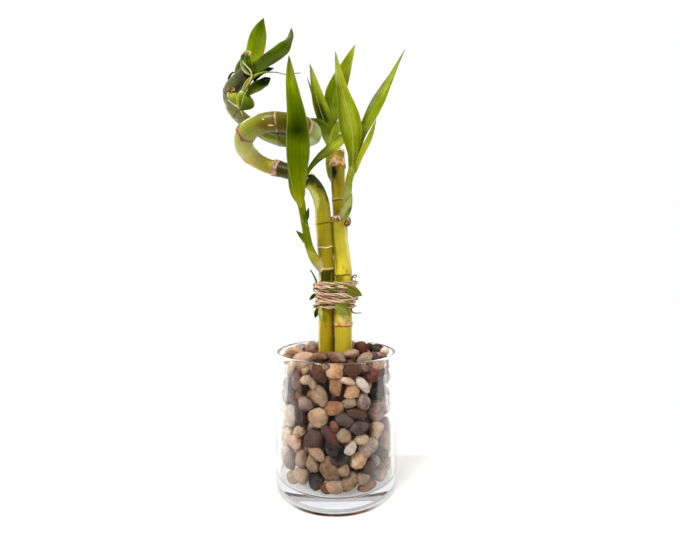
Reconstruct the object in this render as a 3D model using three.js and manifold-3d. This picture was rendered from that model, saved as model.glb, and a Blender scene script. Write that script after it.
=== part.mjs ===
// Lucky bamboo in a glass cylinder vase filled with pebbles.
// Millimetres, +Z up. The origin is the centre of the vase's flat foot.
// Three cut stalks, one of them curled into a ring, stand in the pebbles and are bound by twine.

import * as THREE from 'three';
import { mergeVertices } from 'three/addons/utils/BufferGeometryUtils.js';
import Module from 'manifold-3d';

const wasm = await Module();
wasm.setup();

// ---------------------------------------------------------------- driving dimensions

const GAP = 0.3; // clearance kept between pieces that touch
const VASE = { radius: 50, height: 109.5, wall: 3, base: 11, footEdge: 3.6, floorEdge: 3, sides: 48 };
const CAVITY = VASE.radius - VASE.wall - 0.45; // radius that the pebbles may fill
const BED = { bottom: VASE.base + GAP, core: 42, wallTop: 97, shoulder: 38, heap: 14, heapTop: 107 };
const BED_STONE = { rings: 5, perRing: 10, across: 10, depth: 6.2, high: 8, seat: 41, round: 6, levels: 4 };
const TWINE = { thickness: 2.7, pitch: 3.1, bottom: 144.5, turns: 7.6, stepsPerTurn: 20, sides: 6 };
const LEAF = { thickness: 0.8, edge: 0.35, steps: 8 };
const STALK_SIDES = 10;
const SHOOT_SIDES = 8;

// Centre lines, each point as [x, y, z, radius].
const SPIRAL_STALK = [
  [-8, -8, 20, 5.9], [-8.6, -10, 70, 5.9], [-8.6, -10, 110, 5.9], [-8.2, -10, 145, 5.9], [-8, -10, 173, 6],
  [-9.5, -10, 197, 5.9], [-11, -10, 215, 5.9], [-12, -10, 231, 5.9], [-18.5, -8, 247, 6], [-33, -2, 257, 6.4],
  [-46, 3, 262.5, 6.6], [-60, 4, 266.5, 6.1], [-69.5, -6, 270.5, 6.6], [-72.5, -22, 274.5, 7.2],
  [-67, -38, 279, 7], [-53, -50, 281.5, 6.8], [-42, -52.5, 282, 6.7], [-28, -48, 282, 6.6],
  [-18.5, -32, 283, 6.6], [-20, -12, 285, 6.5], [-31, -1, 286.5, 6.3], [-45, 4, 289, 6.2],
  [-57, 7, 293, 6], [-69, 8, 300, 5.8], [-80, 8, 307, 5.7], [-88, 4, 314.5, 5.6], [-88.5, -5, 320.5, 5.7],
  [-84, -15, 323.5, 5.8], [-77, -23, 325, 5.9], [-70.5, -29, 326.5, 5.9], [-67, -32, 327.5, 5.9],
];
const FRONT_STALK = [
  [6.2, -9, 20, 7.1], [6, -11, 70, 7.1], [5.9, -12, 110, 7.1], [5.9, -11.5, 150, 7.1], [5.7, -9.5, 178, 6.9],
  [2.9, -5.5, 203, 6.6], [0.9, -2.8, 220.5, 6.5],
];
const BACK_STALK = [
  [0.5, 7, 20, 6.1], [1, 5, 70, 6.1], [1.5, 4.6, 110, 6.1], [2.4, 4.8, 150, 6.1], [3.8, 7.5, 190, 6.1],
  [3.6, 10.5, 215, 6.1], [2.4, 11.3, 240, 6.2], [1.2, 12, 260, 6.2], [0.8, 12.4, 282, 6.3],
];
const SHOOTS = {
  shoot_left: [[-13, -14, 178.5, 3.4], [-18, -16, 186, 3], [-21.8, -20, 195, 2.8], [-23, -26, 206, 2.6],
    [-25, -35, 221, 2.6], [-26.7, -42, 231, 2.3]],
  shoot_right: [[5, -6.5, 220, 3.9], [8, -9, 229.5, 3.5], [9.6, -11, 240.5, 3], [10.6, -12, 250, 2.6],
    [13, -13, 258, 2.6]],
  shoot_back: [[-1.5, 16, 255, 3], [-5.5, 18.5, 264, 2.7], [-7, 18, 275, 2.4], [-6.6, 17, 283.5, 2.4],
    [-5.8, 16, 290, 2.3]],
  shoot_top: [[-67.4, -32, 327.7, 3.4], [-65, -33.6, 328.6, 3.2], [-63.4, -34, 330.6, 2.6]],
  shoot_hook: [[-88, -8, 320.5, 3.4], [-84, -17, 317.5, 3.6], [-79, -22, 313.5, 3.2], [-75.5, -25, 310.5, 2.6]],
};

// Leaves: rib points, widest width, the way the upper face looks at the base and at the tip,
// how deep the blade is folded along its rib, and where along it is widest.
const LEAVES = {
  bract_left_low: { rib: [[-22, -23, 199], [-26.2, -28, 203], [-30.2, -33, 206.5]], width: 6,
    face: [[-0.3, -0.9, 0.3], [-0.3, -0.9, 0.3]], fold: 0.5, peak: 0.3, on: 'shoot_left' },
  bract_left_high: { rib: [[-24, -33, 214], [-21.5, -35.5, 218.5], [-20.3, -36.5, 222.5]], width: 4.5,
    face: [[0.3, -0.9, 0.2], [0.3, -0.9, 0.2]], fold: 0.5, peak: 0.3, on: 'shoot_left' },
  leaf_left_main: { rib: [[-26.4, -44, 231], [-26.8, -51, 245], [-26, -59, 261], [-26.2, -64, 276], [-28.6, -66, 293],
    [-30.6, -65, 309], [-31.9, -62, 323.9]], width: 15.5,
    face: [[0, -1, 0.3], [0.1, -1, 0]], fold: 0.2, peak: 0.45, on: 'shoot_left' },
  leaf_left_crossing: { rib: [[-26.6, -41.4, 229], [-20.5, -36, 251.5], [-13.5, -28, 262], [-4, -19, 273.5],
    [6.5, -7, 288]], width: 9,
    face: [[-0.5, -0.8, 0.3], [-0.3, -0.8, 0.5]], fold: 0.35, peak: 0.6, on: 'shoot_left' },
  leaf_left_sheath: { rib: [[-28.5, -43, 228], [-31.5, -46, 238], [-34.3, -48, 249]], width: 6,
    face: [[-0.6, -0.8, 0.2], [-0.4, -0.9, 0]], fold: 0.4, peak: 0.3, on: 'shoot_left' },
  bract_right: { rib: [[4.8, -11, 219], [8.9, -14, 227.5], [12.9, -15.5, 237.5]], width: 8,
    face: [[0.1, -1, 0.1], [0.2, -1, 0]], fold: 0.4, peak: 0.3, on: 'shoot_right' },
  leaf_right_front: { rib: [[13.4, -13, 258], [13.7, -15, 273.5], [12.4, -18, 289], [8.7, -21, 305], [4.4, -23, 321],
    [1.4, -23, 336], [-0.4, -22, 349.5]], width: 17.5,
    face: [[0.2, -1, 0], [-0.1, -1, 0]], fold: 0.3, peak: 0.42, on: 'shoot_right' },
  leaf_right_long: { rib: [[14.6, -11.5, 260], [17, -9.5, 275], [21, -7.5, 293], [28, -7, 306.5], [36.6, -8, 319],
    [45, -11, 334], [56, -14, 355.5]], width: 13,
    face: [[-0.2, -1, 0.2], [-0.5, -0.8, 0.3]], fold: 0.3, peak: 0.5, on: 'shoot_right' },
  leaf_right_small: { rib: [[15, -13, 259], [19.5, -15, 272], [25.3, -18, 282.5], [32, -20, 296.5]], width: 6.4,
    face: [[0.1, -1, 0.2], [0.2, -1, 0.2]], fold: 0.3, peak: 0.5, on: 'shoot_right' },
  leaf_back_folded: { rib: [[-5.9, 15.5, 289], [-10, 13, 306], [-16, 10, 322], [-19.6, 8, 338], [-23, 6, 355]],
    width: 12.5, face: [[0.4, -0.9, 0], [0.5, -0.8, 0.2]], fold: 0.55, peak: 0.45, on: 'shoot_back' },
  leaf_back_thin: { rib: [[-8, 17.5, 291], [-14, 16.5, 311], [-20.5, 15, 331], [-25.8, 13.5, 346.8]], width: 4.5,
    face: [[0.2, -1, 0], [0.2, -1, 0]], fold: 0.4, peak: 0.5, on: 'shoot_back' },
  leaf_back_tall: { rib: [[-5.4, 17.5, 290], [-5.3, 20, 313], [-2, 21.5, 333.5], [5.4, 21.5, 352.5],
    [16.8, 18, 378.8]], width: 15,
    face: [[0.1, -1, 0], [-0.2, -1, 0.1]], fold: 0.2, peak: 0.62, on: 'shoot_back' },
  leaf_back_short: { rib: [[-7, 14.5, 290], [-10, 11.5, 300.5], [-15.5, 8.5, 306], [-23, 5, 307.5]], width: 7,
    face: [[0.1, -0.9, 0.4], [0, -0.8, 0.6]], fold: 0.3, peak: 0.5, on: 'shoot_back' },
  leaf_back_bract: { rib: [[-4.2, 14.5, 290], [-1.2, 12.5, 298.5], [2.7, 11, 308.5]], width: 6,
    face: [[0.2, -1, 0], [0.2, -1, 0]], fold: 0.3, peak: 0.45, on: 'shoot_back' },
  leaf_top_upright: { rib: [[-63.6, -32.5, 330.5], [-62, -30, 345.5], [-60, -26.5, 361], [-56.9, -24, 374.5]],
    width: 12.2, face: [[-0.1, -1, -0.1], [0.1, -1, -0.1]], fold: 0.15, peak: 0.5, on: 'shoot_top' },
  leaf_top_curled: { rib: [[-62.6, -35.3, 327], [-54, -37.5, 334.5], [-43.5, -40, 341], [-35, -41, 346.5],
    [-32.5, -40, 351], [-33, -39, 357.5]], width: 12,
    face: [[0.1, -0.9, 0.3], [0.4, -0.8, 0.3]], fold: 0.2, peak: 0.42, on: 'shoot_top' },
  leaf_top_whorl: { rib: [[-65.5, -36, 327.5], [-65.6, -38, 332.5], [-64.6, -39, 339]], width: 9,
    face: [[-0.2, -1, 0], [0.2, -1, 0]], fold: 0.5, peak: 0.4, on: 'shoot_top' },
  leaf_top_dark: { rib: [[-62.2, -33, 325.6], [-55.5, -34.5, 327], [-47.2, -35.5, 329]], width: 9,
    face: [[0.1, -0.6, 0.8], [0.1, -0.6, 0.8]], fold: 0.3, peak: 0.45, on: 'shoot_top' },
  leaf_top_tendril: { rib: [[-63.2, -36.5, 324], [-54.5, -41.5, 322], [-44, -46, 320.5], [-35.5, -49, 317.5],
    [-25.2, -51, 317.6]], width: 5.5,
    face: [[0.1, -0.5, 0.9], [0.1, -0.6, 0.8]], fold: 0.3, peak: 0.35, on: 'shoot_top' },
  leaf_top_under: { rib: [[-64.2, -35, 323.4], [-58.4, -36.5, 317], [-51, -36.5, 314]], width: 10,
    face: [[0.1, -0.8, -0.5], [0.1, -0.8, -0.4]], fold: 0.25, peak: 0.5, on: 'shoot_top' },
  leaf_hook: { rib: [[-78, -24.5, 314.5], [-72.5, -29, 313.5], [-67, -32, 309], [-64.5, -33.5, 303]], width: 13,
    face: [[0.2, -0.9, -0.2], [0.4, -0.8, -0.3]], fold: 0.45, peak: 0.45, on: 'shoot_hook' },
};

// Small leaves and wire ends of the sprig that the twine holds: places around the bundle, as the
// compass angle seen from above (0 = +X, -90 = front), height, and how far outside the twine.
const SPRIG_LEAVES = {
  sprig_leaf_1: { rib: [[-62, 163, 0.6], [-48, 160.5, 1.6], [-35, 156.5, 5]], width: 7.5 },
  sprig_leaf_2: { rib: [[-112, 161.4, 0.6], [-98, 162, 0.7], [-84, 162.6, 0.6]], width: 3.4 },
  sprig_leaf_3: { rib: [[-74, 152.2, 0.6], [-62, 152.8, 0.8], [-50, 153, 0.9]], width: 4.5 },
  sprig_leaf_4: { rib: [[-90, 148.8, 0.6], [-76, 146.6, 1], [-60, 144, 1.2]], width: 8 },
  sprig_leaf_5: { rib: [[-133, 146.5, 0.6], [-132, 141.5, 0.5], [-131, 136.8, 0.2]], width: 4.2 },
  sprig_leaf_6: { rib: [[-150, 146, 0.6], [-149, 142, 0.9], [-148, 138.2, 1.2]], width: 3.4 },
  sprig_leaf_7: { rib: [[-160, 157, 0.6], [-167, 154.5, 2], [-170, 152.3, 4.5]], width: 3.2 },
};
const WIRE_RADIUS = 0.55;
const SPRIG_WIRES = {
  sprig_wire_tip: [[-158, 167, 0.2], [-160, 171.5, 0.9], [-164, 177, 3]],
  sprig_wire_loop: [[-42, 166.2, 0.2], [-39, 170.2, 0.8], [-30, 172, 2.4]],
  sprig_wire_tail: [[-50, 146, 0.4], [-48, 142.2, 0.8], [-38, 141.8, 4.5], [-33, 142.3, 7.5]],
};

// Loose pebbles on top: centre, half sizes, and turn about Z and tilt in degrees.
const TOP_PEBBLES = [
  { at: [-36, 10, 106.5], half: [9, 6, 3.6], turn: 20, tilt: 12 },
  { at: [-32, 24, 106], half: [6.5, 5.5, 4.2], turn: -30, tilt: 0 },
  { at: [-21.5, 12, 108.5], half: [5.6, 5, 6.3], turn: 0, tilt: 8 },
  { at: [-26, -14, 105.5], half: [9, 7, 5], turn: 8, tilt: -4 },
  { at: [-12, -23, 108.8], half: [7, 5, 4], turn: 12, tilt: 0 },
  { at: [1, -27, 108.8], half: [7.4, 5.4, 4.6], turn: -12, tilt: 12 },
  { at: [12, -24, 111.5], half: [6.4, 4.6, 3.2], turn: 14, tilt: -6 },
  { at: [23, -23, 106.6], half: [7.2, 5.6, 4.8], turn: 30, tilt: -14 },
  { at: [20, -4, 112], half: [6.2, 5.6, 5.6], turn: 40, tilt: 18 },
  { at: [29, -13, 107], half: [6, 5, 3.8], turn: 0, tilt: 10 },
  { at: [36, 9, 108.6], half: [6, 5, 3.8], turn: -35, tilt: 8 },
  { at: [28, 16, 108.2], half: [5.8, 5, 4.2], turn: 20, tilt: 0 },
  { at: [37, -4, 105.2], half: [7.4, 5, 3.4], turn: 60, tilt: 6 },
  { at: [41, 2, 107.6], half: [4, 4.4, 3.8], turn: 0, tilt: 0 },
  { at: [-12, 19, 109.4], half: [6.8, 5.4, 5], turn: -20, tilt: 6 },
  { at: [12, 20, 109], half: [7, 6, 4.6], turn: 25, tilt: -8 },
  { at: [-11, 35, 106], half: [8, 6, 4.6], turn: 10, tilt: 6 },
  { at: [12, 35, 106], half: [7.2, 6.2, 5], turn: -18, tilt: 4 },
];

// ---------------------------------------------------------------- solids and meshes

const object = new THREE.Group();
object.name = 'lucky_bamboo';

const FINISH = {
  glass: new THREE.MeshStandardMaterial({ color: 0xe8eeee, roughness: 0.05, metalness: 0, transparent: true, opacity: 0.35 }),
  stalk: new THREE.MeshStandardMaterial({ color: 0xb0a432, roughness: 0.45, metalness: 0 }),
  shoot: new THREE.MeshStandardMaterial({ color: 0x8c9a3a, roughness: 0.5, metalness: 0 }),
  leaf: new THREE.MeshStandardMaterial({ color: 0x5f7d14, roughness: 0.45, metalness: 0 }),
  twine: new THREE.MeshStandardMaterial({ color: 0xcfa98b, roughness: 0.9, metalness: 0 }),
  wire: new THREE.MeshStandardMaterial({ color: 0x34361f, roughness: 0.6, metalness: 0 }),
  stoneBed: new THREE.MeshStandardMaterial({ color: 0x8a7462, roughness: 0.8, metalness: 0 }),
  stoneTan: new THREE.MeshStandardMaterial({ color: 0xc9a981, roughness: 0.75, metalness: 0 }),
  stoneGrey: new THREE.MeshStandardMaterial({ color: 0x6b6462, roughness: 0.75, metalness: 0 }),
  stoneRed: new THREE.MeshStandardMaterial({ color: 0x8a5a48, roughness: 0.75, metalness: 0 }),
};

function addPiece(name, geometry, material) {
  const mesh = new THREE.Mesh(geometry, material.clone());
  mesh.name = name;
  object.add(mesh);
}

function solidOf(geometry) {
  const bare = geometry.clone();
  bare.deleteAttribute('normal');
  bare.deleteAttribute('uv');
  const merged = mergeVertices(bare, 1e-4);
  return new wasm.Manifold(new wasm.Mesh({
    numProp: 3,
    vertProperties: Float32Array.from(merged.attributes.position.array),
    triVerts: Uint32Array.from(merged.index.array),
  }));
}

function geometryOf(solid) {
  const mesh = solid.getMesh();
  const geometry = new THREE.BufferGeometry();
  geometry.setAttribute('position', new THREE.BufferAttribute(Float32Array.from(mesh.vertProperties), 3));
  geometry.setIndex(new THREE.BufferAttribute(Uint32Array.from(mesh.triVerts), 1));
  geometry.computeVertexNormals();
  return geometry;
}

// Cuts a solid clear of others and keeps its largest piece.
function trimmed(solid, others) {
  const cut = others.reduce((left, other) => left.subtract(other), solid);
  return cut.decompose().sort((a, b) => b.volume() - a.volume())[0];
}

// Joins rings of points, all with the same count, into one closed body.
function loft(rings, capTriangles) {
  const count = rings[0].length;
  const last = (rings.length - 1) * count;
  const index = [];
  for (let ring = 0; ring < rings.length - 1; ring += 1) {
    for (let i = 0; i < count; i += 1) {
      const a = ring * count + i;
      const b = ring * count + ((i + 1) % count);
      index.push(a, b, b + count, a, b + count, a + count);
    }
  }
  for (const [a, b, c] of capTriangles) {
    index.push(a, c, b, last + a, last + b, last + c);
  }
  const geometry = new THREE.BufferGeometry().setFromPoints(rings.flat());
  geometry.setIndex(index);
  geometry.computeVertexNormals();
  return geometry;
}

const vector = (point) => new THREE.Vector3(point[0], point[1], point[2]);
const between = (a, b, part) => a + (b - a) * part;

// ---------------------------------------------------------------- round stems

// A round tube of changing radius along points [x, y, z, radius]; grow fattens and lengthens it.
function stem(points, steps, sides, grow = 0) {
  const curve = new THREE.CatmullRomCurve3(points.map(vector), false, 'centripetal');
  const frames = curve.computeFrenetFrames(steps, false);
  const rings = [];
  for (let step = 0; step <= steps; step += 1) {
    const along = step / steps;
    const place = curve.getUtoTmapping(along) * (points.length - 1);
    const before = Math.min(Math.floor(place), points.length - 2);
    const radius = between(points[before][3], points[before + 1][3], place - before) + grow;
    const centre = curve.getPointAt(along);
    if (step === 0) centre.addScaledVector(frames.tangents[0], -grow);
    if (step === steps) centre.addScaledVector(frames.tangents[steps], grow);
    rings.push(Array.from({ length: sides }, (_, i) => {
      const angle = (i / sides) * 2 * Math.PI;
      return centre.clone()
        .addScaledVector(frames.normals[step], radius * Math.cos(angle))
        .addScaledVector(frames.binormals[step], radius * Math.sin(angle));
    }));
  }
  const fan = Array.from({ length: sides - 2 }, (_, i) => [0, i + 1, i + 2]);
  return loft(rings, fan);
}

function centreAt(points, height) {
  const above = points.findIndex((point) => point[2] >= height);
  const [low, high] = [points[above - 1], points[above]];
  return low.map((value, i) => between(value, high[i], (height - low[2]) / (high[2] - low[2])));
}

// ---------------------------------------------------------------- leaves

// Width along the blade: narrow at the base, widest at peak, a fine point at the tip.
function bladeWidth(along, peak) {
  if (along < peak) return 0.3 + 0.7 * Math.sin((along / peak) * Math.PI / 2);
  return 0.05 + 0.95 * Math.cos(((along - peak) / (1 - peak)) * Math.PI / 2) ** 0.9;
}

// A thin blade folded along its rib.
function blade({ rib, width, face, fold, peak }, grow = 0) {
  const curve = new THREE.CatmullRomCurve3(rib.map(vector), false, 'centripetal');
  const [startFace, endFace] = face.map(vector);
  const rings = [];
  for (let step = 0; step <= LEAF.steps; step += 1) {
    const along = step / LEAF.steps;
    const centre = curve.getPointAt(along);
    const tangent = curve.getTangentAt(along);
    const side = startFace.clone().lerp(endFace, along).cross(tangent).normalize();
    const up = tangent.clone().cross(side);
    const half = (width * bladeWidth(along, peak)) / 2 + grow;
    const place = (across, height) => centre.clone()
      .addScaledVector(side, across)
      .addScaledVector(up, height);
    const middle = LEAF.thickness / 2 + grow;
    const rim = LEAF.edge / 2 + grow;
    const lift = half * fold;
    rings.push([place(-half, lift - rim), place(0, -middle), place(half, lift - rim),
      place(half, lift + rim), place(0, middle), place(-half, lift + rim)]);
  }
  return loft(rings, [[0, 1, 4], [0, 4, 5], [1, 2, 3], [1, 3, 4]]);
}

// ---------------------------------------------------------------- the bundle that the twine binds

function outwards(degrees) {
  const angle = THREE.MathUtils.degToRad(degrees);
  return [Math.cos(angle), Math.sin(angle), 0];
}

// The point that lies a given distance outside the three stalks, in a compass direction.
function aroundBundle(degrees, height, outside) {
  const look = outwards(degrees);
  const reach = (stalk) => stalk[0] * look[0] + stalk[1] * look[1] + stalk[3];
  const stalks = [SPIRAL_STALK, FRONT_STALK, BACK_STALK].map((line) => centreAt(line, height));
  const outer = stalks.reduce((best, stalk) => (reach(stalk) > reach(best) ? stalk : best));
  const radius = outer[3] + outside;
  return [outer[0] + look[0] * radius, outer[1] + look[1] * radius, height];
}

function twineGeometry(grow = 0) {
  const steps = Math.round(TWINE.turns * TWINE.stepsPerTurn);
  const radius = TWINE.thickness / 2;
  const points = Array.from({ length: steps + 1 }, (_, step) => {
    const turns = step / TWINE.stepsPerTurn;
    return [...aroundBundle(turns * 360, TWINE.bottom + turns * TWINE.pitch, radius + 2 * GAP), radius];
  });
  return stem(points, steps, TWINE.sides, grow);
}

const outsideTwine = ([degrees, height, out]) => aroundBundle(degrees, height, TWINE.thickness + 2 * GAP + out);

// ---------------------------------------------------------------- stones

function pebbleGeometry({ at, half, turn, tilt }, grow = 0, ball = new THREE.IcosahedronGeometry(1, 1)) {
  const pebble = ball.clone();
  pebble.scale(half[0] + grow, half[1] + grow, half[2] + grow);
  pebble.rotateY(THREE.MathUtils.degToRad(tilt));
  pebble.rotateZ(THREE.MathUtils.degToRad(turn));
  pebble.translate(...at);
  return pebble;
}

// Stones standing against the glass, in staggered rings around the core of the bed.
function wallStones() {
  const stones = [];
  const pitch = (BED.wallTop - BED.bottom) / BED_STONE.rings;
  for (let ring = 0; ring < BED_STONE.rings; ring += 1) {
    for (let i = 0; i < BED_STONE.perRing; i += 1) {
      const degrees = ((i + (ring % 2) / 2) / BED_STONE.perRing) * 360;
      const angle = THREE.MathUtils.degToRad(degrees);
      stones.push({
        at: [BED_STONE.seat * Math.cos(angle), BED_STONE.seat * Math.sin(angle), BED.bottom + (ring + 0.5) * pitch],
        half: [BED_STONE.depth, BED_STONE.across, BED_STONE.high],
        turn: degrees,
        tilt: 12 * Math.sin(7 * ring + 3 * i),
      });
    }
  }
  return stones;
}

function lathe(profile, sides) {
  const turned = new THREE.LatheGeometry(profile.map(([r, z]) => new THREE.Vector2(r, z)), sides);
  return turned.rotateX(Math.PI / 2);
}

// ---------------------------------------------------------------- the vase

function vaseGeometry() {
  const { radius, height, wall, base, footEdge, floorEdge } = VASE;
  const inner = radius - wall;
  const profile = [[0, 0], [radius - footEdge, 0]];
  const edgeSteps = 3;
  for (let i = 1; i <= edgeSteps; i += 1) {
    const angle = (i / edgeSteps) * Math.PI / 2;
    profile.push([radius - footEdge * (1 - Math.sin(angle)), footEdge * (1 - Math.cos(angle))]);
  }
  for (let i = 0; i <= edgeSteps + 1; i += 1) {
    const angle = (i / (edgeSteps + 1)) * Math.PI;
    profile.push([radius - wall / 2 + (wall / 2) * Math.cos(angle), height - wall / 2 + (wall / 2) * Math.sin(angle)]);
  }
  for (let i = 0; i <= edgeSteps; i += 1) {
    const angle = (i / edgeSteps) * Math.PI / 2;
    profile.push([inner - floorEdge * (1 - Math.cos(angle)), base + floorEdge * (1 - Math.sin(angle))]);
  }
  profile.push([0, base]);
  return lathe(profile, VASE.sides);
}

addPiece('glass_vase', vaseGeometry(), FINISH.glass);

// ---------------------------------------------------------------- stalks, shoots and twine

const STALKS = {
  stalk_spiral: { line: SPIRAL_STALK, steps: 84 },
  stalk_front: { line: FRONT_STALK, steps: 16 },
  stalk_back: { line: BACK_STALK, steps: 18 },
};
const stalkCutters = Object.values(STALKS).map(({ line, steps }) => solidOf(stem(line, steps, STALK_SIDES, GAP)));
for (const [name, { line, steps }] of Object.entries(STALKS)) {
  addPiece(name, stem(line, steps, STALK_SIDES), FINISH.stalk);
}

const SHOOT_STEPS = 10;
const cutters = {};
for (const [name, line] of Object.entries(SHOOTS)) {
  addPiece(name, geometryOf(trimmed(solidOf(stem(line, SHOOT_STEPS, SHOOT_SIDES)), stalkCutters)), FINISH.shoot);
  cutters[name] = [solidOf(stem(line, SHOOT_STEPS, SHOOT_SIDES, GAP)), ...stalkCutters];
}

addPiece('twine_wrap', twineGeometry(), FINISH.twine);
const twineCutter = solidOf(twineGeometry(GAP));

// ---------------------------------------------------------------- leaves

for (const [name, leaf] of Object.entries(LEAVES)) {
  addPiece(name, geometryOf(trimmed(solidOf(blade(leaf)), cutters[leaf.on])), FINISH.leaf);
  cutters[leaf.on].push(solidOf(blade(leaf, GAP)));
}

const sprigCutters = [twineCutter, ...stalkCutters];
for (const [name, { rib, width }] of Object.entries(SPRIG_LEAVES)) {
  const points = rib.map(outsideTwine);
  const face = rib.map(([degrees]) => outwards(degrees));
  const leaf = { rib: points, width, face: [face[0], face[2]], fold: -0.15, peak: 0.45 };
  addPiece(name, geometryOf(trimmed(solidOf(blade(leaf)), sprigCutters)), FINISH.leaf);
  sprigCutters.push(solidOf(blade(leaf, GAP)));
}

const WIRE_STEPS = 8;
for (const [name, places] of Object.entries(SPRIG_WIRES)) {
  const points = places.map((place) => [...outsideTwine(place), WIRE_RADIUS]);
  addPiece(name, geometryOf(trimmed(solidOf(stem(points, WIRE_STEPS, 6)), sprigCutters)), FINISH.wire);
}

// ---------------------------------------------------------------- pebbles

const cavity = solidOf(lathe([[0, BED.bottom], [CAVITY - VASE.floorEdge, BED.bottom],
  [CAVITY, BED.bottom + VASE.floorEdge], [CAVITY, VASE.height + 20], [0, VASE.height + 20]], VASE.sides));
const pebbleCutters = [...stalkCutters];
TOP_PEBBLES.forEach((pebble, i) => {
  const name = `pebble_top_${String(i + 1).padStart(2, '0')}`;
  const material = [FINISH.stoneTan, FINISH.stoneGrey, FINISH.stoneRed][i % 3];
  const solid = solidOf(pebbleGeometry(pebble)).intersect(cavity);
  addPiece(name, geometryOf(trimmed(solid, pebbleCutters)), material);
  pebbleCutters.push(solidOf(pebbleGeometry(pebble, GAP)));
});

const core = solidOf(lathe([[0, BED.bottom], [BED.core - 2, BED.bottom], [BED.core, BED.bottom + 2],
  [BED.core, BED.wallTop], [BED.shoulder, BED.wallTop + 5], [BED.heap, BED.heapTop], [0, BED.heapTop]], 20));
const ball = new THREE.SphereGeometry(1, BED_STONE.round, BED_STONE.levels);
const stones = wallStones().map((stone) => solidOf(pebbleGeometry(stone, 0, ball)));
const bed = stones.reduce((left, stone) => left.add(stone), core).intersect(cavity);
addPiece('pebble_bed', geometryOf(trimmed(bed, pebbleCutters)), FINISH.stoneBed);

export default object;
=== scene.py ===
"""Looks of the lucky bamboo: glass vase, pebbles, stalks, twine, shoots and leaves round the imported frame."""

import math

import bmesh
import bpy
import numpy as np
from mathutils import Euler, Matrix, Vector, noise


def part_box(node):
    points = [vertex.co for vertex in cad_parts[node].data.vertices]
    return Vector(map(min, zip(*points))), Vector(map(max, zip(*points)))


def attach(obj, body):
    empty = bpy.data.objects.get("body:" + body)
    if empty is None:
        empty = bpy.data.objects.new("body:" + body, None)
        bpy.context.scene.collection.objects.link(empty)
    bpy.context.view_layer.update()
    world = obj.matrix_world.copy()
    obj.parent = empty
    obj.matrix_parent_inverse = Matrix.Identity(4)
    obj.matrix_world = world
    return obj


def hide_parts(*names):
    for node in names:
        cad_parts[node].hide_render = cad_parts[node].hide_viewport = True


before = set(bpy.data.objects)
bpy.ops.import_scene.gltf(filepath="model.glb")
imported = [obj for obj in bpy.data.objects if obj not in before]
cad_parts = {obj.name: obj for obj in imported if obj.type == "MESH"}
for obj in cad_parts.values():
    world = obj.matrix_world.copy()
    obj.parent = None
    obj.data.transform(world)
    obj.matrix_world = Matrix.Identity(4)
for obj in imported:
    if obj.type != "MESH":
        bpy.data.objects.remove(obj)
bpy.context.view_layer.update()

MM = 0.001
UP = np.array([0.0, 0.0, 1.0])
# Points along each piece of a curve before it is cut into even steps.
CURVE_STEPS = 24


# ---------------------------------------------------------------- small helpers


def colour(red, green, blue):
    """A display colour, 0 to 255, as the linear colour that shaders take."""
    parts = [value / 255 for value in (red, green, blue)]
    return tuple(c / 12.92 if c <= 0.04045 else ((c + 0.055) / 1.055) ** 2.4 for c in parts) + (1.0,)


def linear(tone):
    """The same as three numbers for a mesh's marks, without the alpha."""
    return np.array(colour(*tone)[:3])


def unit(v):
    return v / np.linalg.norm(v, axis=-1, keepdims=True)


def smooth_step(low, high, value):
    t = np.clip((value - low) / (high - low), 0, 1)
    return t * t * (3 - 2 * t)


def bell(value, width, power=2):
    """1 where the value is 0, falling to nothing a few widths away."""
    return math.exp(-((value / width) ** power))


def nearest(line, place):
    """The number of the point of a line that lies nearest a place."""
    return int(np.argmin(np.linalg.norm(line - np.array(place)[:3], axis=1)))


def spread(values, places):
    """Numbers or triples given at even places, read at any places from 0 to 1."""
    values = np.array(values, float)
    if len(values) == 1:
        values = np.repeat(values, 2, axis=0)
    even = np.linspace(0, 1, len(values))
    if values.ndim == 1:
        return np.interp(places, even, values)
    return np.stack([np.interp(places, even, column) for column in values.T], 1)


def spline(points, spacing):
    """Even steps along a centripetal Catmull-Rom curve; columns after the third are carried along."""
    points = np.array(points, float)
    ends = np.vstack([2 * points[0] - points[1], points, 2 * points[-1] - points[-2]])
    rows = []
    for p0, p1, p2, p3 in zip(ends, ends[1:], ends[2:], ends[3:]):
        gaps = [max(np.linalg.norm((b - a)[:3]) ** 0.5, 1e-4) for a, b in ((p0, p1), (p1, p2), (p2, p3))]
        t1, t2, t3 = gaps[0], gaps[0] + gaps[1], sum(gaps)
        for t in np.linspace(t1, t2, CURVE_STEPS, endpoint=False):
            a1 = (t1 - t) / t1 * p0 + t / t1 * p1
            a2 = (t2 - t) / (t2 - t1) * p1 + (t - t1) / (t2 - t1) * p2
            a3 = (t3 - t) / (t3 - t2) * p2 + (t - t2) / (t3 - t2) * p3
            b1 = (t2 - t) / t2 * a1 + t / t2 * a2
            b2 = (t3 - t) / (t3 - t1) * a2 + (t - t1) / (t3 - t1) * a3
            rows.append((t2 - t) / (t2 - t1) * b1 + (t - t1) / (t2 - t1) * b2)
    rows.append(points[-1])
    rows = np.array(rows)
    length = np.concatenate([[0], np.cumsum(np.linalg.norm(np.diff(rows[:, :3], axis=0), axis=1))])
    count = max(int(round(length[-1] / spacing)), 2)
    along = np.linspace(0, length[-1], count + 1)
    return np.stack([np.interp(along, length, column) for column in rows.T], 1), along


def travelling_frames(line, side=(0.0, -1.0, 0.0)):
    """Tangents and two cross directions that don't twist along a line."""
    tangents = unit(np.gradient(line, axis=0))
    sides = []
    for tangent in tangents:
        side = unit(side - tangent * np.dot(side, tangent))
        sides.append(side)
    sides = np.array(sides)
    return tangents, sides, np.cross(tangents, sides)


def circle(sides):
    """Even angles round a ring, each with its cosine and sine."""
    angles = [2 * math.pi * j / sides for j in range(sides)]
    return [(a, math.cos(a), math.sin(a)) for a in angles]


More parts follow.
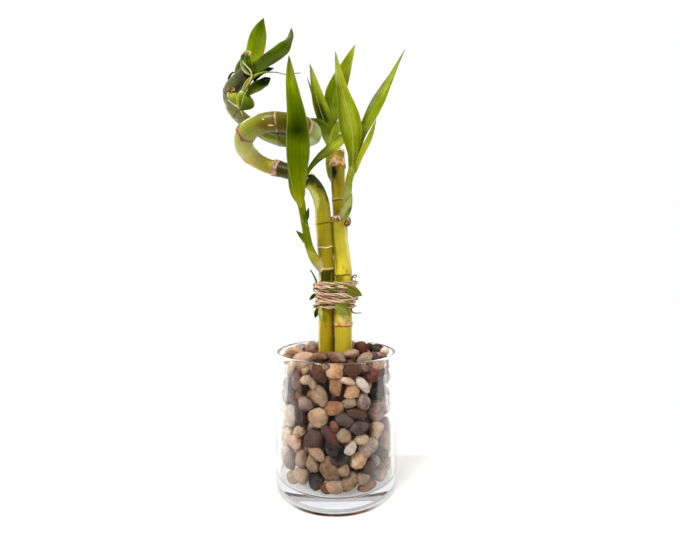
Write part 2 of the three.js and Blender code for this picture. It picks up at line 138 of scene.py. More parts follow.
def wander(seed, scale, place):
    """Smooth noise from -1 to 1 at a point, different for each seed."""
    return noise.noise(Vector([c / scale for c in place]) + Vector((seed * 7.31, seed * 3.17, seed * 1.73)))


def grid_faces(rows, columns, closed):
    faces = []
    for i in range(rows - 1):
        for j in range(columns if closed else columns - 1):
            k = (j + 1) % columns
            faces.append((i * columns + j, i * columns + k, (i + 1) * columns + k, (i + 1) * columns + j))
    return faces


def tube_faces(rows, sides, start=0):
    """The wall and both ends of a tube whose points begin at a number."""
    last = start + (rows - 1) * sides
    faces = [tuple(start + k for k in f) for f in grid_faces(rows, sides, True)]
    return faces + [tuple(range(start + sides - 1, start - 1, -1)), tuple(range(last, last + sides))]


def shell_faces(rows, columns, closed):
    """Two skins of the same grid, the second one turned over, without the walls between their edges."""
    faces = grid_faces(rows, columns, closed)
    return faces + [tuple(k + rows * columns for k in reversed(f)) for f in faces]


def make_mesh(name, points, faces, material, marks=None):
    """A smooth mesh object from points in millimetres; marks are numbers per point that the material reads."""
    mesh = bpy.data.meshes.new(name)
    mesh.from_pydata((np.array(points) * MM).tolist(), [], faces)
    for mark, values in (marks or {}).items():
        values = np.array(values, float)
        kind, field = ("FLOAT", "value") if values.ndim == 1 else ("FLOAT_VECTOR", "vector")
        mesh.attributes.new(mark, kind, "POINT").data.foreach_set(field, values.ravel())
    mesh.materials.append(material)
    mesh.validate()
    mesh.polygons.foreach_set("use_smooth", [True] * len(mesh.polygons))
    obj = bpy.data.objects.new(name, mesh)
    bpy.context.scene.collection.objects.link(obj)
    return obj


def stand_for(piece, slot, *nodes):
    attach(piece, "root")
    if nodes:
        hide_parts(*nodes)


# ---------------------------------------------------------------- shader helpers


class Graph:
    """A node tree, with short names for the nodes that this script uses."""

    def __init__(self, tree):
        self.tree = tree

    def feed(self, node, inputs):
        """Links or sets a node's inputs, given by name or number."""
        for socket, value in inputs.items():
            if isinstance(value, bpy.types.NodeSocket):
                self.tree.links.new(value, node.inputs[socket])
            else:
                node.inputs[socket].default_value = value

    def node(self, kind, inputs=None, **settings):
        made = self.tree.nodes.new("ShaderNode" + kind)
        for key, value in settings.items():
            setattr(made, key, value)
        self.feed(made, inputs or {})
        return made

    def math(self, operation, a, b=0.0):
        return self.node("Math", {0: a, 1: b}, operation=operation).outputs[0]

    def weighted(self, *pairs, plus=0.0):
        """Values times their weights, and a fixed number, added up."""
        total = plus
        for value, weight in pairs:
            total = self.math("ADD", self.math("MULTIPLY", value, weight), total)
        return total

    def step(self, value, low, high, first=0.0, last=1.0):
        """A smooth way from first to last as a value goes from low to high."""
        ends = {"Value": value, "From Min": low, "From Max": high, "To Min": first, "To Max": last}
        return self.node("MapRange", ends, interpolation_type="SMOOTHSTEP").outputs[0]

    def ramp(self, value, *stops):
        """stops are (position, grey or colour)."""
        made = self.node("ValToRGB", {0: value})
        elements = made.color_ramp.elements
        while len(elements) < len(stops):
            elements.new(0.5)
        for element, (position, tone) in zip(elements, stops):
            element.position = position
            element.color = tone if isinstance(tone, tuple) else (tone, tone, tone, 1)
        return made.outputs[0]

    def mix(self, amount, a, b):
        return self.node("Mix", {0: amount, 6: a, 7: b}, data_type="RGBA").outputs[2]

    def scaled(self, tone, amount):
        return self.node("VectorMath", {0: tone, "Scale": amount}, operation="SCALE").outputs[0]

    def place(self):
        return self.node("TexCoord").outputs["Object"]

    def noise(self, scale, detail=3.0, rough=0.55, vector=None, stretch=None, distort=0.0):
        if vector is None:
            vector = self.place()
        if stretch:
            vector = self.node("Mapping", {"Scale": stretch, "Vector": vector}).outputs["Vector"]
        inputs = {"Scale": scale, "Detail": detail, "Roughness": rough, "Distortion": distort, "Vector": vector}
        return self.node("TexNoise", inputs).outputs["Fac"]


class Shader(Graph):
    """A material that starts with the Principled shader."""

    def __init__(self, name):
        self.material = bpy.data.materials.new(name)
        self.material.use_nodes = True
        super().__init__(self.material.node_tree)
        self.bsdf = self.tree.nodes["Principled BSDF"]
        self.surface = self.bsdf.outputs[0]

    def mark(self, name, output="Fac"):
        return self.node("Attribute", attribute_name=name).outputs[output]

    def bump(self, height, strength, distance):
        made = self.node("Bump", {"Strength": strength, "Distance": distance, "Height": height})
        self.feed(self.bsdf, {"Normal": made.outputs["Normal"]})

    def cover(self, share, other):
        """Mixes another shader over what the surface is so far."""
        self.surface = self.node("MixShader", {0: share, 1: self.surface, 2: other.outputs[0]}).outputs[0]
        self.feed(self.tree.nodes["Material Output"], {"Surface": self.surface})


# ---------------------------------------------------------------- materials

CLEAR_TINTS = ((0.965, 0.98, 0.98, 1), (0.99, 0.995, 0.99, 1))
FOOT_TINTS = ((0.80, 0.825, 0.87, 1), (0.93, 0.94, 0.97, 1))


def glass_material(name, *clear_to, tints=CLEAR_TINTS):
    """Glass. Rays of the kinds listed in clear_to pass straight through it, so that lamps reach inside."""
    s = Shader(name)
    base = s.ramp(s.noise(60, detail=2), (0.3, tints[0]), (0.7, tints[1]))
    s.feed(s.bsdf, {"Base Color": base, "Transmission Weight": 1.0, "IOR": 1.5, "Roughness": 0.0})
    clear = s.node("BsdfTransparent", {"Color": (0.93, 0.95, 0.95, 1)})
    path = s.node("LightPath")
    for ray in clear_to:
        s.cover(path.outputs[ray], clear)
    return s.material


def stalk_material():
    """Waxy cane. Its tones come with the mesh; mottling, lengthwise streaks and flaky scars are added."""
    s = Shader("stalk")
    broad = s.noise(70, detail=4)
    streaks = s.noise(260, detail=4, vector=s.mark("cane", "Vector"), stretch=(1, 1, 0.10))
    fine = s.noise(900, detail=4, rough=0.65)
    worn = s.mark("worn")
    shade = s.weighted((broad, 0.5), (streaks, 0.45), plus=0.52)
    flaky = s.math("MULTIPLY", s.weighted((fine, 2.6), plus=-1.3), worn)
    specks = s.ramp(s.noise(330, detail=2, rough=0.4), (0.70, 0.0), (0.78, 0.5))
    skin = s.scaled(s.mark("skin", "Color"), s.math("ADD", shade, flaky))
    s.feed(s.bsdf, {
        "Base Color": s.mix(specks, skin, colour(120, 92, 30)),
        "Roughness": s.weighted((worn, 0.35), (fine, 0.1), plus=0.33),
        "Subsurface Weight": 0.12, "Subsurface Radius": (0.0012, 0.0010, 0.0003), "Specular IOR Level": 0.09,
        "Coat Weight": 0.08, "Coat Roughness": 0.22,
        "Sheen Weight": 0.06, "Sheen Roughness": 0.25, "Sheen Tint": (1.0, 0.98, 0.85, 1),
    })
    s.bump(s.weighted((streaks, 0.6), (fine, s.math("ADD", worn, 0.15))), 0.4, 0.0006)
    return s.material


def leaf_material(name, tint):
    """A blade whose tones come with the mesh, with fine parallel veins and light let through from behind."""
    s = Shader(name)
    blade = s.mark("blade", "Vector")
    veins = s.noise(34, detail=4, rough=0.65, vector=blade, stretch=(1.0, 0.03, 1.0))
    broad = s.noise(5, detail=3, vector=blade, stretch=(0.6, 1.0, 1.0))
    base = s.scaled(s.mark("tone", "Color"), s.weighted((veins, 1.2), (broad, 0.6), plus=-0.12))
    s.feed(s.bsdf, {"Base Color": base, "Roughness": 0.38, "Specular IOR Level": 0.015})
    s.bump(veins, 0.35, 0.0003)
    s.cover(0.28, s.node("BsdfTranslucent", {"Color": s.mix(0.2, base, colour(*tint))}))
    return s.material


def twine_material():
    """Dull fibres that lie along the plies, with painted shade in the crevices between the plies and where turns lie on
    each other.
    """
    s = Shader("twine")
    fibres = s.noise(420, detail=4, vector=s.mark("lay", "Vector"), stretch=(1.0, 1.0, 0.08))
    base = s.ramp(fibres, (0.3, colour(96, 64, 38)), (0.5, colour(206, 168, 126)), (0.7, colour(252, 236, 204)))
    base = s.mix(s.ramp(s.noise(120, detail=2), (0.4, 0.0), (0.7, 0.4)), base, colour(196, 150, 108))
    # Painted shade: dark brown where the mesh marks a crevice.
    base = s.mix(s.math("MULTIPLY", s.mark("crevice_shade"), 0.62), base, colour(84, 52, 28))
    s.feed(s.bsdf, {"Base Color": base, "Roughness": 0.85, "Sheen Weight": 0.25})
    s.bump(fibres, 0.7, 0.0006)
    return s.material


def wire_material():
    s = Shader("wire")
    worn = s.noise(900, detail=2)
    tone = s.ramp(worn, (0.4, colour(40, 42, 24)), (0.6, colour(70, 74, 46)))
    s.feed(s.bsdf, {"Base Color": tone, "Roughness": 0.55})
    s.bump(worn, 0.3, 0.0003)
    return s.material


def stone_material(name, veins=0.0, flecks=0.0, grain_depth=0.0):
    """A river pebble. Its own colour and second colour come with the mesh; veins, flecks and grain vary."""
    s = Shader("stone_" + name)
    place = s.node("VectorMath", {0: s.place(), 1: s.mark("own", "Vector")}, operation="ADD").outputs[0]
    broad = s.noise(85, detail=3, vector=place, distort=0.5)
    grain = s.noise(620, detail=5, rough=0.7, vector=place)
    patch = s.noise(210, detail=4, rough=0.6, vector=place)
    base = s.mix(s.ramp(broad, (0.42, 0.0), (0.66, 0.85)), s.mark("tone", "Color"), s.mark("second", "Color"))
    base = s.scaled(base, s.weighted((patch, 0.75), (grain, 0.75 + grain_depth), plus=-0.12 - grain_depth / 2))
    if veins:
        inputs = {"Scale": 85, "Distortion": 14, "Detail": 4, "Detail Scale": 1.6, "Vector": place}
        wave = s.node("TexWave", inputs, wave_type="BANDS", bands_direction="DIAGONAL")
        base = s.mix(s.ramp(wave.outputs["Fac"], (0.0, veins), (0.30, 0.0)), base, colour(150, 108, 70))
    if flecks:
        spots = s.node("TexVoronoi", {"Scale": 520, "Vector": place}, feature="F1")
        base = s.mix(s.ramp(spots.outputs["Distance"], (0.20, flecks), (0.34, 0.0)), base, colour(72, 54, 50))
    rough = s.ramp(grain, (0.3, 0.5), (0.7, 0.75))
    s.feed(s.bsdf, {"Base Color": base, "Roughness": rough, "Specular IOR Level": 0.1})
    s.bump(s.weighted((grain, 0.8), plus=patch), 0.5 + grain_depth / 2, 0.0009)
    return s.material


GLASS = glass_material("glass", "Is Diffuse Ray", "Is Shadow Ray")
RIM_GLASS = glass_material("glass_rim", "Is Reflection Ray", "Is Diffuse Ray", "Is Shadow Ray")
FOOT_GLASS = glass_material("glass_foot", "Is Diffuse Ray", "Is Shadow Ray", tints=FOOT_TINTS)
STALK = stalk_material()
LEAF = leaf_material("leaf", (190, 200, 8))
DRY_LEAF = leaf_material("dry_sheath", (236, 196, 150))
TWINE = twine_material()
WIRE = wire_material()
STONE = {
    "plain": stone_material("plain"),
    "veined": stone_material("veined", veins=0.4),
    "speckled": stone_material("speckled", flecks=0.8, grain_depth=0.3),
    "rough": stone_material("rough", veins=0.25, grain_depth=0.7),
}


# ---------------------------------------------------------------- the vase

# All in millimetres: the wall, the base and the roundings of the foot, the inner floor's edge and the lip.
WALL, BASE, FOOT_EDGE, FLOOR_EDGE, LIP = 3.0, 11.0, 5.5, 3.0, 1.2
FOOT_DISH = 0.25
VASE_SIDES = 160
# How far down the rim's glass goes, and how far up the foot's.
RIM_DEPTH, FOOT_DEPTH = 9, 10.5


def rounding(first, last, steps):
    """How far in and up each step of a quarter turn is, as shares of its radius."""
    return [(1 - math.sin(a), 1 - math.cos(a)) for a in np.linspace(first, last, steps)]


def make_vase():
    """Turned glass of the frame's outline, with a fine rounded rim and a heavy base."""
    low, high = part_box("glass_vase")
    radius = (high[0] - low[0]) / 2 / MM
    height = high[2] / MM
    inner = radius - WALL
    outline = [(radius * 0.6, FOOT_DISH), (radius * 0.66, 0), (radius - FOOT_EDGE - 0.5, 0)]
    outline += [(radius - FOOT_EDGE * a, FOOT_EDGE * b) for a, b in rounding(0.05, math.pi / 2, 8)]
    outline += [(radius, z) for z in np.linspace(12, height - WALL, 10)]
    for a in np.linspace(0.1, math.pi - 0.1, 14):
        flat = math.copysign(WALL / 2 - LIP, math.cos(a))
        outline.append((radius - WALL / 2 + flat + LIP * math.cos(a), height - LIP + LIP * math.sin(a)))
    outline += [(inner, z) for z in np.linspace(height - WALL, BASE + FLOOR_EDGE + 2, 10)]
    outline += [(inner - FLOOR_EDGE * b, BASE + FLOOR_EDGE * a) for a, b in rounding(0, math.pi / 2, 8)]
    outline.append((inner * 0.5, BASE))
    points = [(r * cos, r * sin, z) for r, z in outline for _, cos, sin in circle(VASE_SIDES)]
    faces = grid_faces(len(outline), VASE_SIDES, True)
    bottom, top = len(points), len(points) + 1
    points += [(0, 0, FOOT_DISH), (0, 0, BASE)]
    last = (len(outline) - 1) * VASE_SIDES
    for i in range(VASE_SIDES):
        j = (i + 1) % VASE_SIDES
        faces += [(bottom, j, i), (top, last + i, last + j)]
    vase = make_mesh("vase_glass", points, faces, GLASS)
    vase.data.materials.append(RIM_GLASS)
    vase.data.materials.append(FOOT_GLASS)
    for face in vase.data.polygons:
        if face.center.z > (height - RIM_DEPTH) * MM:
            face.material_index = 1
        elif face.center.z < FOOT_DEPTH * MM:
            face.material_index = 2
    stand_for(vase, "glass", "glass_vase")


# ---------------------------------------------------------------- stalks

# Centre lines, each point as (x, y, z, radius) in millimetres, the same as the frame's.
SPIRAL_LINE = [
    (-8, -8, 20, 5.9), (-8.6, -10, 70, 5.9), (-8.6, -10, 110, 5.9), (-8.2, -10, 145, 5.9), (-8, -10, 173, 6),
    (-9.2, -10, 197, 6.2), (-10.6, -10, 215, 6.4), (-11.6, -10, 231, 6.3), (-18.5, -8, 247, 6), (-33, -2, 257, 6.4),
    (-46, 3, 262.5, 6.6), (-60, 4, 266.5, 6.1), (-69.5, -6, 270.5, 6.6), (-72.5, -22, 274.5, 7.2), (-67, -38, 279, 7),
    (-53, -50, 281.5, 6.8), (-42, -52.5, 282, 6.7), (-28, -48, 282, 6.6), (-18.5, -32, 283, 6.6),
    (-20, -12, 285, 6.5), (-31, -1, 286.5, 6.3), (-45, 4, 289, 6.2), (-57, 7, 293, 6), (-69, 8, 300, 5.8),
    (-80, 8, 307, 5.7), (-88, 4, 314.5, 5.6), (-88.5, -5, 320.5, 5.7), (-84, -15, 323.5, 5.8), (-77, -23, 325, 5.9),
    (-70.5, -29, 326.5, 5.9), (-67, -32, 327.5, 5.9),
]
FRONT_LINE = [
    (6.2, -9, 20, 7.1), (6, -11, 70, 7.1), (5.9, -12, 110, 7.1), (5.9, -11.5, 150, 7.1), (5.7, -9.5, 178, 6.9),
    (2.6, -5.5, 203, 6.9), (0.7, -2.8, 220.5, 6.7),
]
BACK_LINE = [
    (0.5, 7, 20, 6.1), (1, 5, 70, 6.1), (1.5, 4.6, 110, 6.1), (2.4, 4.8, 150, 6.1), (3.8, 7.5, 190, 6.1),
    (3.6, 10.5, 215, 6.1), (2.4, 11.3, 240, 6.2), (1.2, 12, 260, 6.2), (0.8, 12.4, 282, 6.3),
]

# Ring scars: the point near which each lies, its half width, the length of the dark band below it and
# above it (towards the root and towards the tip), all in millimetres, and its kind.
SPIRAL_RINGS = [
    ((-8, -10, 177.5), 0.6, 10, 0, "scar"), ((-9.5, -10, 195.5), 0.45, 0, 0, "line"),
    ((-11, -10, 215), 0.45, 0, 0, "brown"), ((-23, -5.5, 250.6), 1.2, 4, 0, "line"),
    ((-50.5, 3.5, 263.8), 2.5, 18, 0, "cork"), ((-70.2, -8, 271), 0.7, 0, 0, "rust"),
    ((-66.2, -39, 279.2), 1.3, 0, 0, "cork"), ((-42.6, -52.4, 282), 0.3, 0.8, 0, "pink"),
    ((-23.5, -42.5, 282.3), 1, 2, 0, "pink"), ((-48, 4.6, 289.5), 0.4, 1.5, 0, "cork"),
    ((-86, 6, 312.5), 0.4, 0, 0, "cork"), ((-86, -11, 322.5), 1.1, 1.5, 2, "cork"),
]
FRONT_RINGS = [((5.9, -12, 133), 0.9, 1.2, 0, "rust"), ((5.8, -10, 173), 0.4, 0, 0, "brown")]
BACK_RINGS = [
    ((1.5, 4.6, 125), 0.8, 2, 0, "scar"), ((3.6, 7.2, 186), 0.9, 3, 0, "scar"),
    ((3.2, 10.7, 238), 0.4, 1.5, 0, "scar"), ((1.5, 11.9, 268), 1.2, 0, 0, "rust"),
]

# Each kind of ring: its tone, the tone of the fine line on its root side, and how flaky it is.
RING_KINDS = {
    "scar": ((206, 178, 112), (96, 84, 24), 0.3), "line": ((238, 224, 168), (84, 70, 14), 0.25),
    "cork": ((150, 108, 88), (80, 44, 34), 0.9), "rust": ((208, 146, 94), (110, 60, 28), 0.6),
    "brown": ((128, 98, 34), (72, 58, 8), 0.3), "pink": ((208, 164, 122), (104, 60, 30), 0.4),
}

# Skin tones as display colours, each at the centre line's point of that number.
SPIRAL_SKIN = [
    (0, (166, 142, 20)), (4, (138, 120, 6)), (6, (150, 136, 16)), (8, (134, 132, 26)), (9, (156, 146, 44)),
    (11, (160, 148, 46)), (13, (178, 176, 92)), (14, (138, 142, 48)), (15, (112, 112, 28)), (16, (86, 84, 14)),
    (17, (78, 82, 12)), (18, (160, 172, 100)), (20, (84, 94, 14)), (23, (106, 114, 36)), (25, (130, 134, 88)),
    (27, (92, 96, 56)), (30, (60, 60, 28)),
]
FRONT_SKIN = [(0, (162, 140, 24)), (3, (172, 156, 34)), (4, (184, 170, 40)), (6, (166, 156, 40))]
BACK_SKIN = [(0, (160, 142, 26)), (4, (138, 130, 18)), (6, (152, 136, 12)), (7, (148, 126, 10)), (8, (136, 124, 34))]
# Patches, both the canes' own scars and spots and painted highlights and shade: a place near the skin, reach along the
# cane and round it in millimetres, tone, strength, how flaky.
SPIRAL_SCARS_AND_PAINTED_LIGHT = [
    # (-14, -13, 140) and (-13.2, -13, 168) are painted highlights down the cane's left edge.
    ((-8.5, -16, 131.5), 1.2, 1, (120, 84, 20), 0.7, 0.3), ((-14, -13, 140), 34, 1.6, (222, 214, 130), 0.6),
    ((-13.2, -13, 168), 8, 1.7, (206, 200, 124), 0.85), ((-3.4, -14, 167.5), 7, 1.6, (116, 108, 18), 0.8),
    ((-12.5, -15, 183.2), 4, 1.3, (214, 150, 104), 0.95, 0.5),
    # Painted shade on the upper right side of the bend: (-20, -12.5, 252.5), (-13, -13, 247.5), (-7.8, -12, 239) and
    # (-5.6, -11, 226).
    ((-13.5, -14.5, 178), 3, 3.2, (236, 208, 160), 0.9, 0.6), ((-20, -12.5, 252.5), 7, 5.5, (22, 28, 2), 1),
    ((-13, -13, 247.5), 9, 5.5, (42, 48, 4), 0.95), ((-7.8, -12, 239), 10, 3.6, (66, 72, 8), 0.9),
    # Painted highlights down the left edge: (-16.5, -14, 236), (-16.4, -12.6, 214) and (-14.2, -12.6, 187). Painted
    # shade in the crevice beside the other canes: (-2.4, -7.6, 190) and (-2.4, -7.6, 128).
    ((-5.6, -11, 226), 10, 2, (84, 78, 10), 0.8), ((-16.5, -14, 236), 14, 3, (206, 204, 116), 0.75),
    ((-16.4, -12.6, 214), 24, 2, (204, 204, 138), 0.8), ((-14.2, -12.6, 187), 10, 1.5, (206, 200, 120), 0.6),
    ((-2.4, -7.6, 190), 26, 2.4, (84, 56, 8), 0.85), ((-2.4, -7.6, 128), 16, 2.2, (84, 58, 8), 0.8),
    ((-60, 1, 271), 14, 3.2, (110, 100, 10), 0.75), ((-46, 1, 268), 6, 3, (90, 86, 10), 0.7),
    ((-72.5, -12.5, 269.5), 2.2, 1.4, (216, 140, 84), 0.95, 0.6),
    # (-79, -22, 274) is a painted highlight along the far left edge of the loop.
    ((-74, -8, 268), 1.6, 3.4, (196, 120, 66), 0.8, 0.5), ((-79, -22, 274), 18, 2.6, (226, 228, 182), 0.9),
    ((-49, -57.5, 276.5), 11, 4.6, (96, 80, 18), 0.85), ((-45.3, -58.8, 276.5), 1.9, 0.6, (236, 216, 168), 1, 0.3),
    ((-50.1, -57, 281.5), 0.8, 0.5, (232, 212, 150), 1, 0.2), ((-57, -52, 275.5), 7, 3.4, (132, 132, 44), 0.6),
    # (-62, -48, 283.5) is a painted highlight along the top edge of the front pass.
    ((-62, -48, 283.5), 14, 1.4, (214, 220, 170), 0.8), ((-58, 1, 281), 12, 3, (176, 184, 104), 0.7),
    # (-93.5, 3, 313), (-91, -10, 326) and (-78, -20, 331) are painted highlights on the left and upper left of the hook
    # and the last internode; (-72, -28, 322) is painted shade on the internode's lower right.
    ((-50, 1, 293), 12, 3.4, (40, 52, 4), 0.9), ((-93.5, 3, 313), 13, 3.6, (206, 208, 184), 0.95),
    ((-91, -10, 326), 8, 2.6, (190, 192, 172), 0.8), ((-78, -20, 331), 12, 2.4, (150, 154, 130), 0.8),
    ((-83, -17.5, 318.8), 3.2, 4.2, (168, 100, 44), 1, 0.8), ((-72, -28, 322), 9, 4, (40, 38, 14), 0.8),
]
FRONT_SCARS_AND_PAINTED_LIGHT = [
    ((3, -18.6, 133.5), 1.6, 2, (176, 92, 30), 0.9, 0.5), ((6, -19, 138), 4.5, 5, (206, 186, 120), 0.8, 0.1),
    ((8.4, -16.3, 175.6), 2, 0.7, (140, 94, 28), 0.9, 0.1), ((6, -17, 178.6), 2, 0.6, (150, 104, 30), 0.8, 0.1),
    ((2.6, -16, 169.6), 3.6, 4.4, (86, 84, 6), 0.85), ((11.6, -13.4, 172.6), 1.2, 1.4, (222, 150, 108), 0.8, 0.4),
    ((5, -11.5, 214), 3.6, 2.4, (150, 130, 30), 0.7, 0.2), ((2, -10.5, 218), 2.4, 3, (120, 76, 30), 0.8, 0.6),
    # The pale strips at (13, -13, 195) and (12.6, -14, 140) are painted highlights down the cane's right edge; (-1,
    # -13, 190) is painted shade on its left side, in the crevice beside the spiral cane.
    ((13, -13, 195), 22, 1.6, (230, 222, 150), 0.6), ((12.6, -14, 140), 34, 1.6, (226, 214, 140), 0.6),
    ((-1, -13, 190), 22, 1.2, (104, 92, 12), 0.7),
]
BACK_SCARS_AND_PAINTED_SHADE = [
    # (-1, -4, 140) and (-2, -1.5, 188) are painted shade on the side that faces the other canes, in the crevice between
    # them.
    ((-1, -4, 140), 42, 3, (52, 30, 6), 1), ((-2, -1.5, 188), 24, 3, (48, 30, 6), 0.95),
    ((-2.6, 7, 262), 8, 4, (26, 32, 3), 1), ((-4, 8, 250), 16, 2.4, (74, 78, 40), 0.85),
    ((3, 6.4, 251), 12, 3.5, (132, 118, 12), 0.6), ((0, 6, 273), 3, 3.4, (206, 150, 104), 0.8, 0.8),
    ((-2, 7, 269), 2.6, 3.4, (198, 188, 96), 0.9, 0.2), ((5, 7, 279), 4, 3.4, (116, 112, 24), 0.9, 0.2),
]
DARK_BAND = (56, 56, 2)
CUT_SCAR = (232, 204, 166)
# How much of a ring scar stands out, how far along the cane a ring or a patch can reach, and the mesh's
# sides and step, in millimetres.
RING_RELIEF = 0.35
RING_REACH, PATCH_REACH = 16, 9
STALK_SIDES, STALK_STEP = 56, 0.5
# How far round a cane the material's streaks are spread.
CANE_ROUND = 0.02


def blended(tone, other, share):
    return tone * (1 - share) + linear(other) * share


class Skin:
    """The tone, flakiness and lift of one point of a cane's skin, as rings and patches are laid on it."""

    def __init__(self, tone):
        self.tone, self.flaky, self.lift = tone, 0.0, 0.0

    def ring(self, far, ragged, half, below, above, kind):
        if below and far < 0:
            dark = smooth_step(below + 1.2 + ragged, below - 0.8, -far) * smooth_step(half * 0.6, half, -far)
            self.tone = blended(self.tone, DARK_BAND, dark)
        if above and far > 0:
            self.tone = blended(self.tone, DARK_BAND, 0.7 * smooth_step(above + 1, above - 0.5, far))
        body, under, rough = RING_KINDS[kind]
        rag = half * (1 + 0.35 * ragged * rough)
        near = bell(abs(far), rag, 3)
        self.tone = blended(self.tone, under, bell(far + rag + 0.3, 0.45) * 0.9)
        self.tone = blended(self.tone, body, near)
        self.flaky = max(self.flaky, near * rough)
        self.lift += RING_RELIEF * near + 0.2 * bell(far, 5)

    def patch(self, share, tone, rough=0.0):
        self.tone = blended(self.tone, tone, share)
        self.flaky = max(self.flaky, share * rough)
        self.lift += 0.35 * share * rough

    def scar(self, share, depth):
        self.tone = blended(self.tone, CUT_SCAR, share)
        self.flaky = max(self.flaky, share)
        self.lift += 0.6 * share * depth


def cane_frames(line):
    """A centre line in even steps: places along it, its points, its radii, tangents and cross directions."""
    rows, along = spline(line, STALK_STEP)
    return (along, rows[:, :3], rows[:, 3], *travelling_frames(rows[:, :3]))


def make_stalk(name, line, rings, skins, patches, seed, collar, node):
    """A cane with ring scars and patches, some of the patches painted highlights and shade. collar is the length of the
    ragged scar at its cut top.
    """
    along, centre, radius, tangents, side, across = cane_frames(line)
    spots = [nearest(centre, place) for place, *_ in rings]
    stops = [along[nearest(centre, line[k])] for k, _ in skins]
    tones = np.array([linear(tone) for _, tone in skins])
    skin_at = np.stack([np.interp(along, stops, column) for column in tones.T], 1)
    lying = []
    for place, *rest in patches:
        row = nearest(centre, place)
        lying.append((centre[row] + unit(np.array(place) - centre[row]) * radius[row], *rest))
    points, marks = [], {"worn": [], "cane": [], "skin": []}
    for i, s in enumerate(along):
        near = [p for p in lying if np.linalg.norm(centre[i] - p[0]) < PATCH_REACH + 1.6 * max(p[1], p[2])]
        for a, cos, sin in circle(STALK_SIDES):
            look = side[i] * cos + across[i] * sin
            wobble = wander(seed, 1.0, (cos * 1.1, sin * 1.1, s / 40))
            ragged = wander(seed + 1, 1.0, (cos * 3, sin * 3, s / 3))
            skin = Skin(skin_at[i])
            for spot, (_, *ring) in zip(spots, rings):
                far = s - along[spot] - wobble * 0.8 - 0.4 * math.sin(a + spot)
                if abs(far) <= RING_REACH:
                    skin.ring(far, ragged, *ring)
            for place, reach, width, tone, strength, *rough in near:
                gap = centre[i] + look * radius[i] - place
                along_gap = gap.dot(tangents[i])
                round_gap = np.linalg.norm(gap - tangents[i] * along_gap)
                size = math.hypot(along_gap / reach, round_gap / width) + 0.3 * ragged
                share = strength * (1 - float(smooth_step(0.45, 1.25, size)))
                if share > 0:
                    skin.patch(share, tone, *rough)
            if collar:
                edge = collar * (0.75 + 0.6 * wander(seed + 5, 1.0, (cos * 2, sin * 2, 0)))
                top = float(smooth_step(edge, edge * 0.7, along[-1] - s))
                skin.scar(top, 0.6 + 0.8 * wander(seed + 6, 1.2, (a * 2, s, 0)))
            rough = 0.18 * wander(seed + 3, 9, centre[i] + look * 5)
            points.append(centre[i] + look * (radius[i] + skin.lift + rough))
            for mark, value in zip(marks, (skin.flaky, (cos * CANE_ROUND, sin * CANE_ROUND, s * MM + seed), skin.tone)):
                marks[mark].append(value)
    faces = grid_faces(len(along), STALK_SIDES, True)
    add_caps(points, faces, marks, len(along), tangents, seed)
    stand_for(make_mesh(name, points, faces, STALK, marks), "stalk", node)


def add_caps(points, faces, marks, rows, tangents, seed):
    """Closes both ends of a cane with a slightly sunken, fibrous cut face."""
    for end, row, sign in ((0, 0, -1), (1, rows - 1, 1)):
        rim = last = [row * STALK_SIDES + j for j in range(STALK_SIDES)]
        centre = np.mean([points[k] for k in rim], axis=0)
        for share in (0.9, 0.6, 0.3):
            fresh = []
            for k in rim:
                spot = centre + (points[k] - centre) * share
                dip = -0.5 * (1 - share) + 0.12 * wander(seed + end, 0.8, spot)
                points.append(spot + tangents[row] * sign * dip)
                fresh.append(len(points) - 1)
                for mark, values in marks.items():
                    values.append(1.0 if mark == "worn" else values[k])
            for j in range(STALK_SIDES):
                k = (j + 1) % STALK_SIDES
                faces.append((last[j], last[k], fresh[k], fresh[j])[::sign])
            last = fresh
        faces.append(tuple(last)[::sign])


# Dry papery collars: the cane, the point near which each lies, where it starts and where its ragged edge
# is along the cane, how far that edge stands off, how ragged it is, and its two tones.
COLLARS = {
    "collar_front_top": (FRONT_LINE, (0.9, -2.8, 220.5), (-0.3, -3.6), 0.9, 0.7, (240, 224, 194), (206, 146, 112)),
    "collar_front_low": (FRONT_LINE, (5.9, -12, 133), (-0.5, 0.9), 0.3, 0.9, (222, 190, 136), (182, 116, 66)),
    "collar_back_top": (BACK_LINE, (1.0, 12.2, 276), (-2.0, -7.6), 0.9, 0.5, (214, 180, 128), (164, 112, 66)),
    "collar_bend": (SPIRAL_LINE, (-23, -5.5, 250.6), (-1.4, 2.4), 0.8, 0.8, (240, 226, 180), (206, 176, 120)),
    "collar_run": (SPIRAL_LINE, (-50.5, 3.5, 263.8), (-2.6, 2.4), 0.5, 0.5, (208, 174, 150), (134, 92, 76)),
    "collar_turn": (SPIRAL_LINE, (-66.2, -39, 279.2), (1.1, -1.1), 0.3, 0.6, (160, 116, 92), (98, 58, 44)),
}
COLLAR_SIDES, COLLAR_STEPS, COLLAR_THICK = 96, 8, 0.3


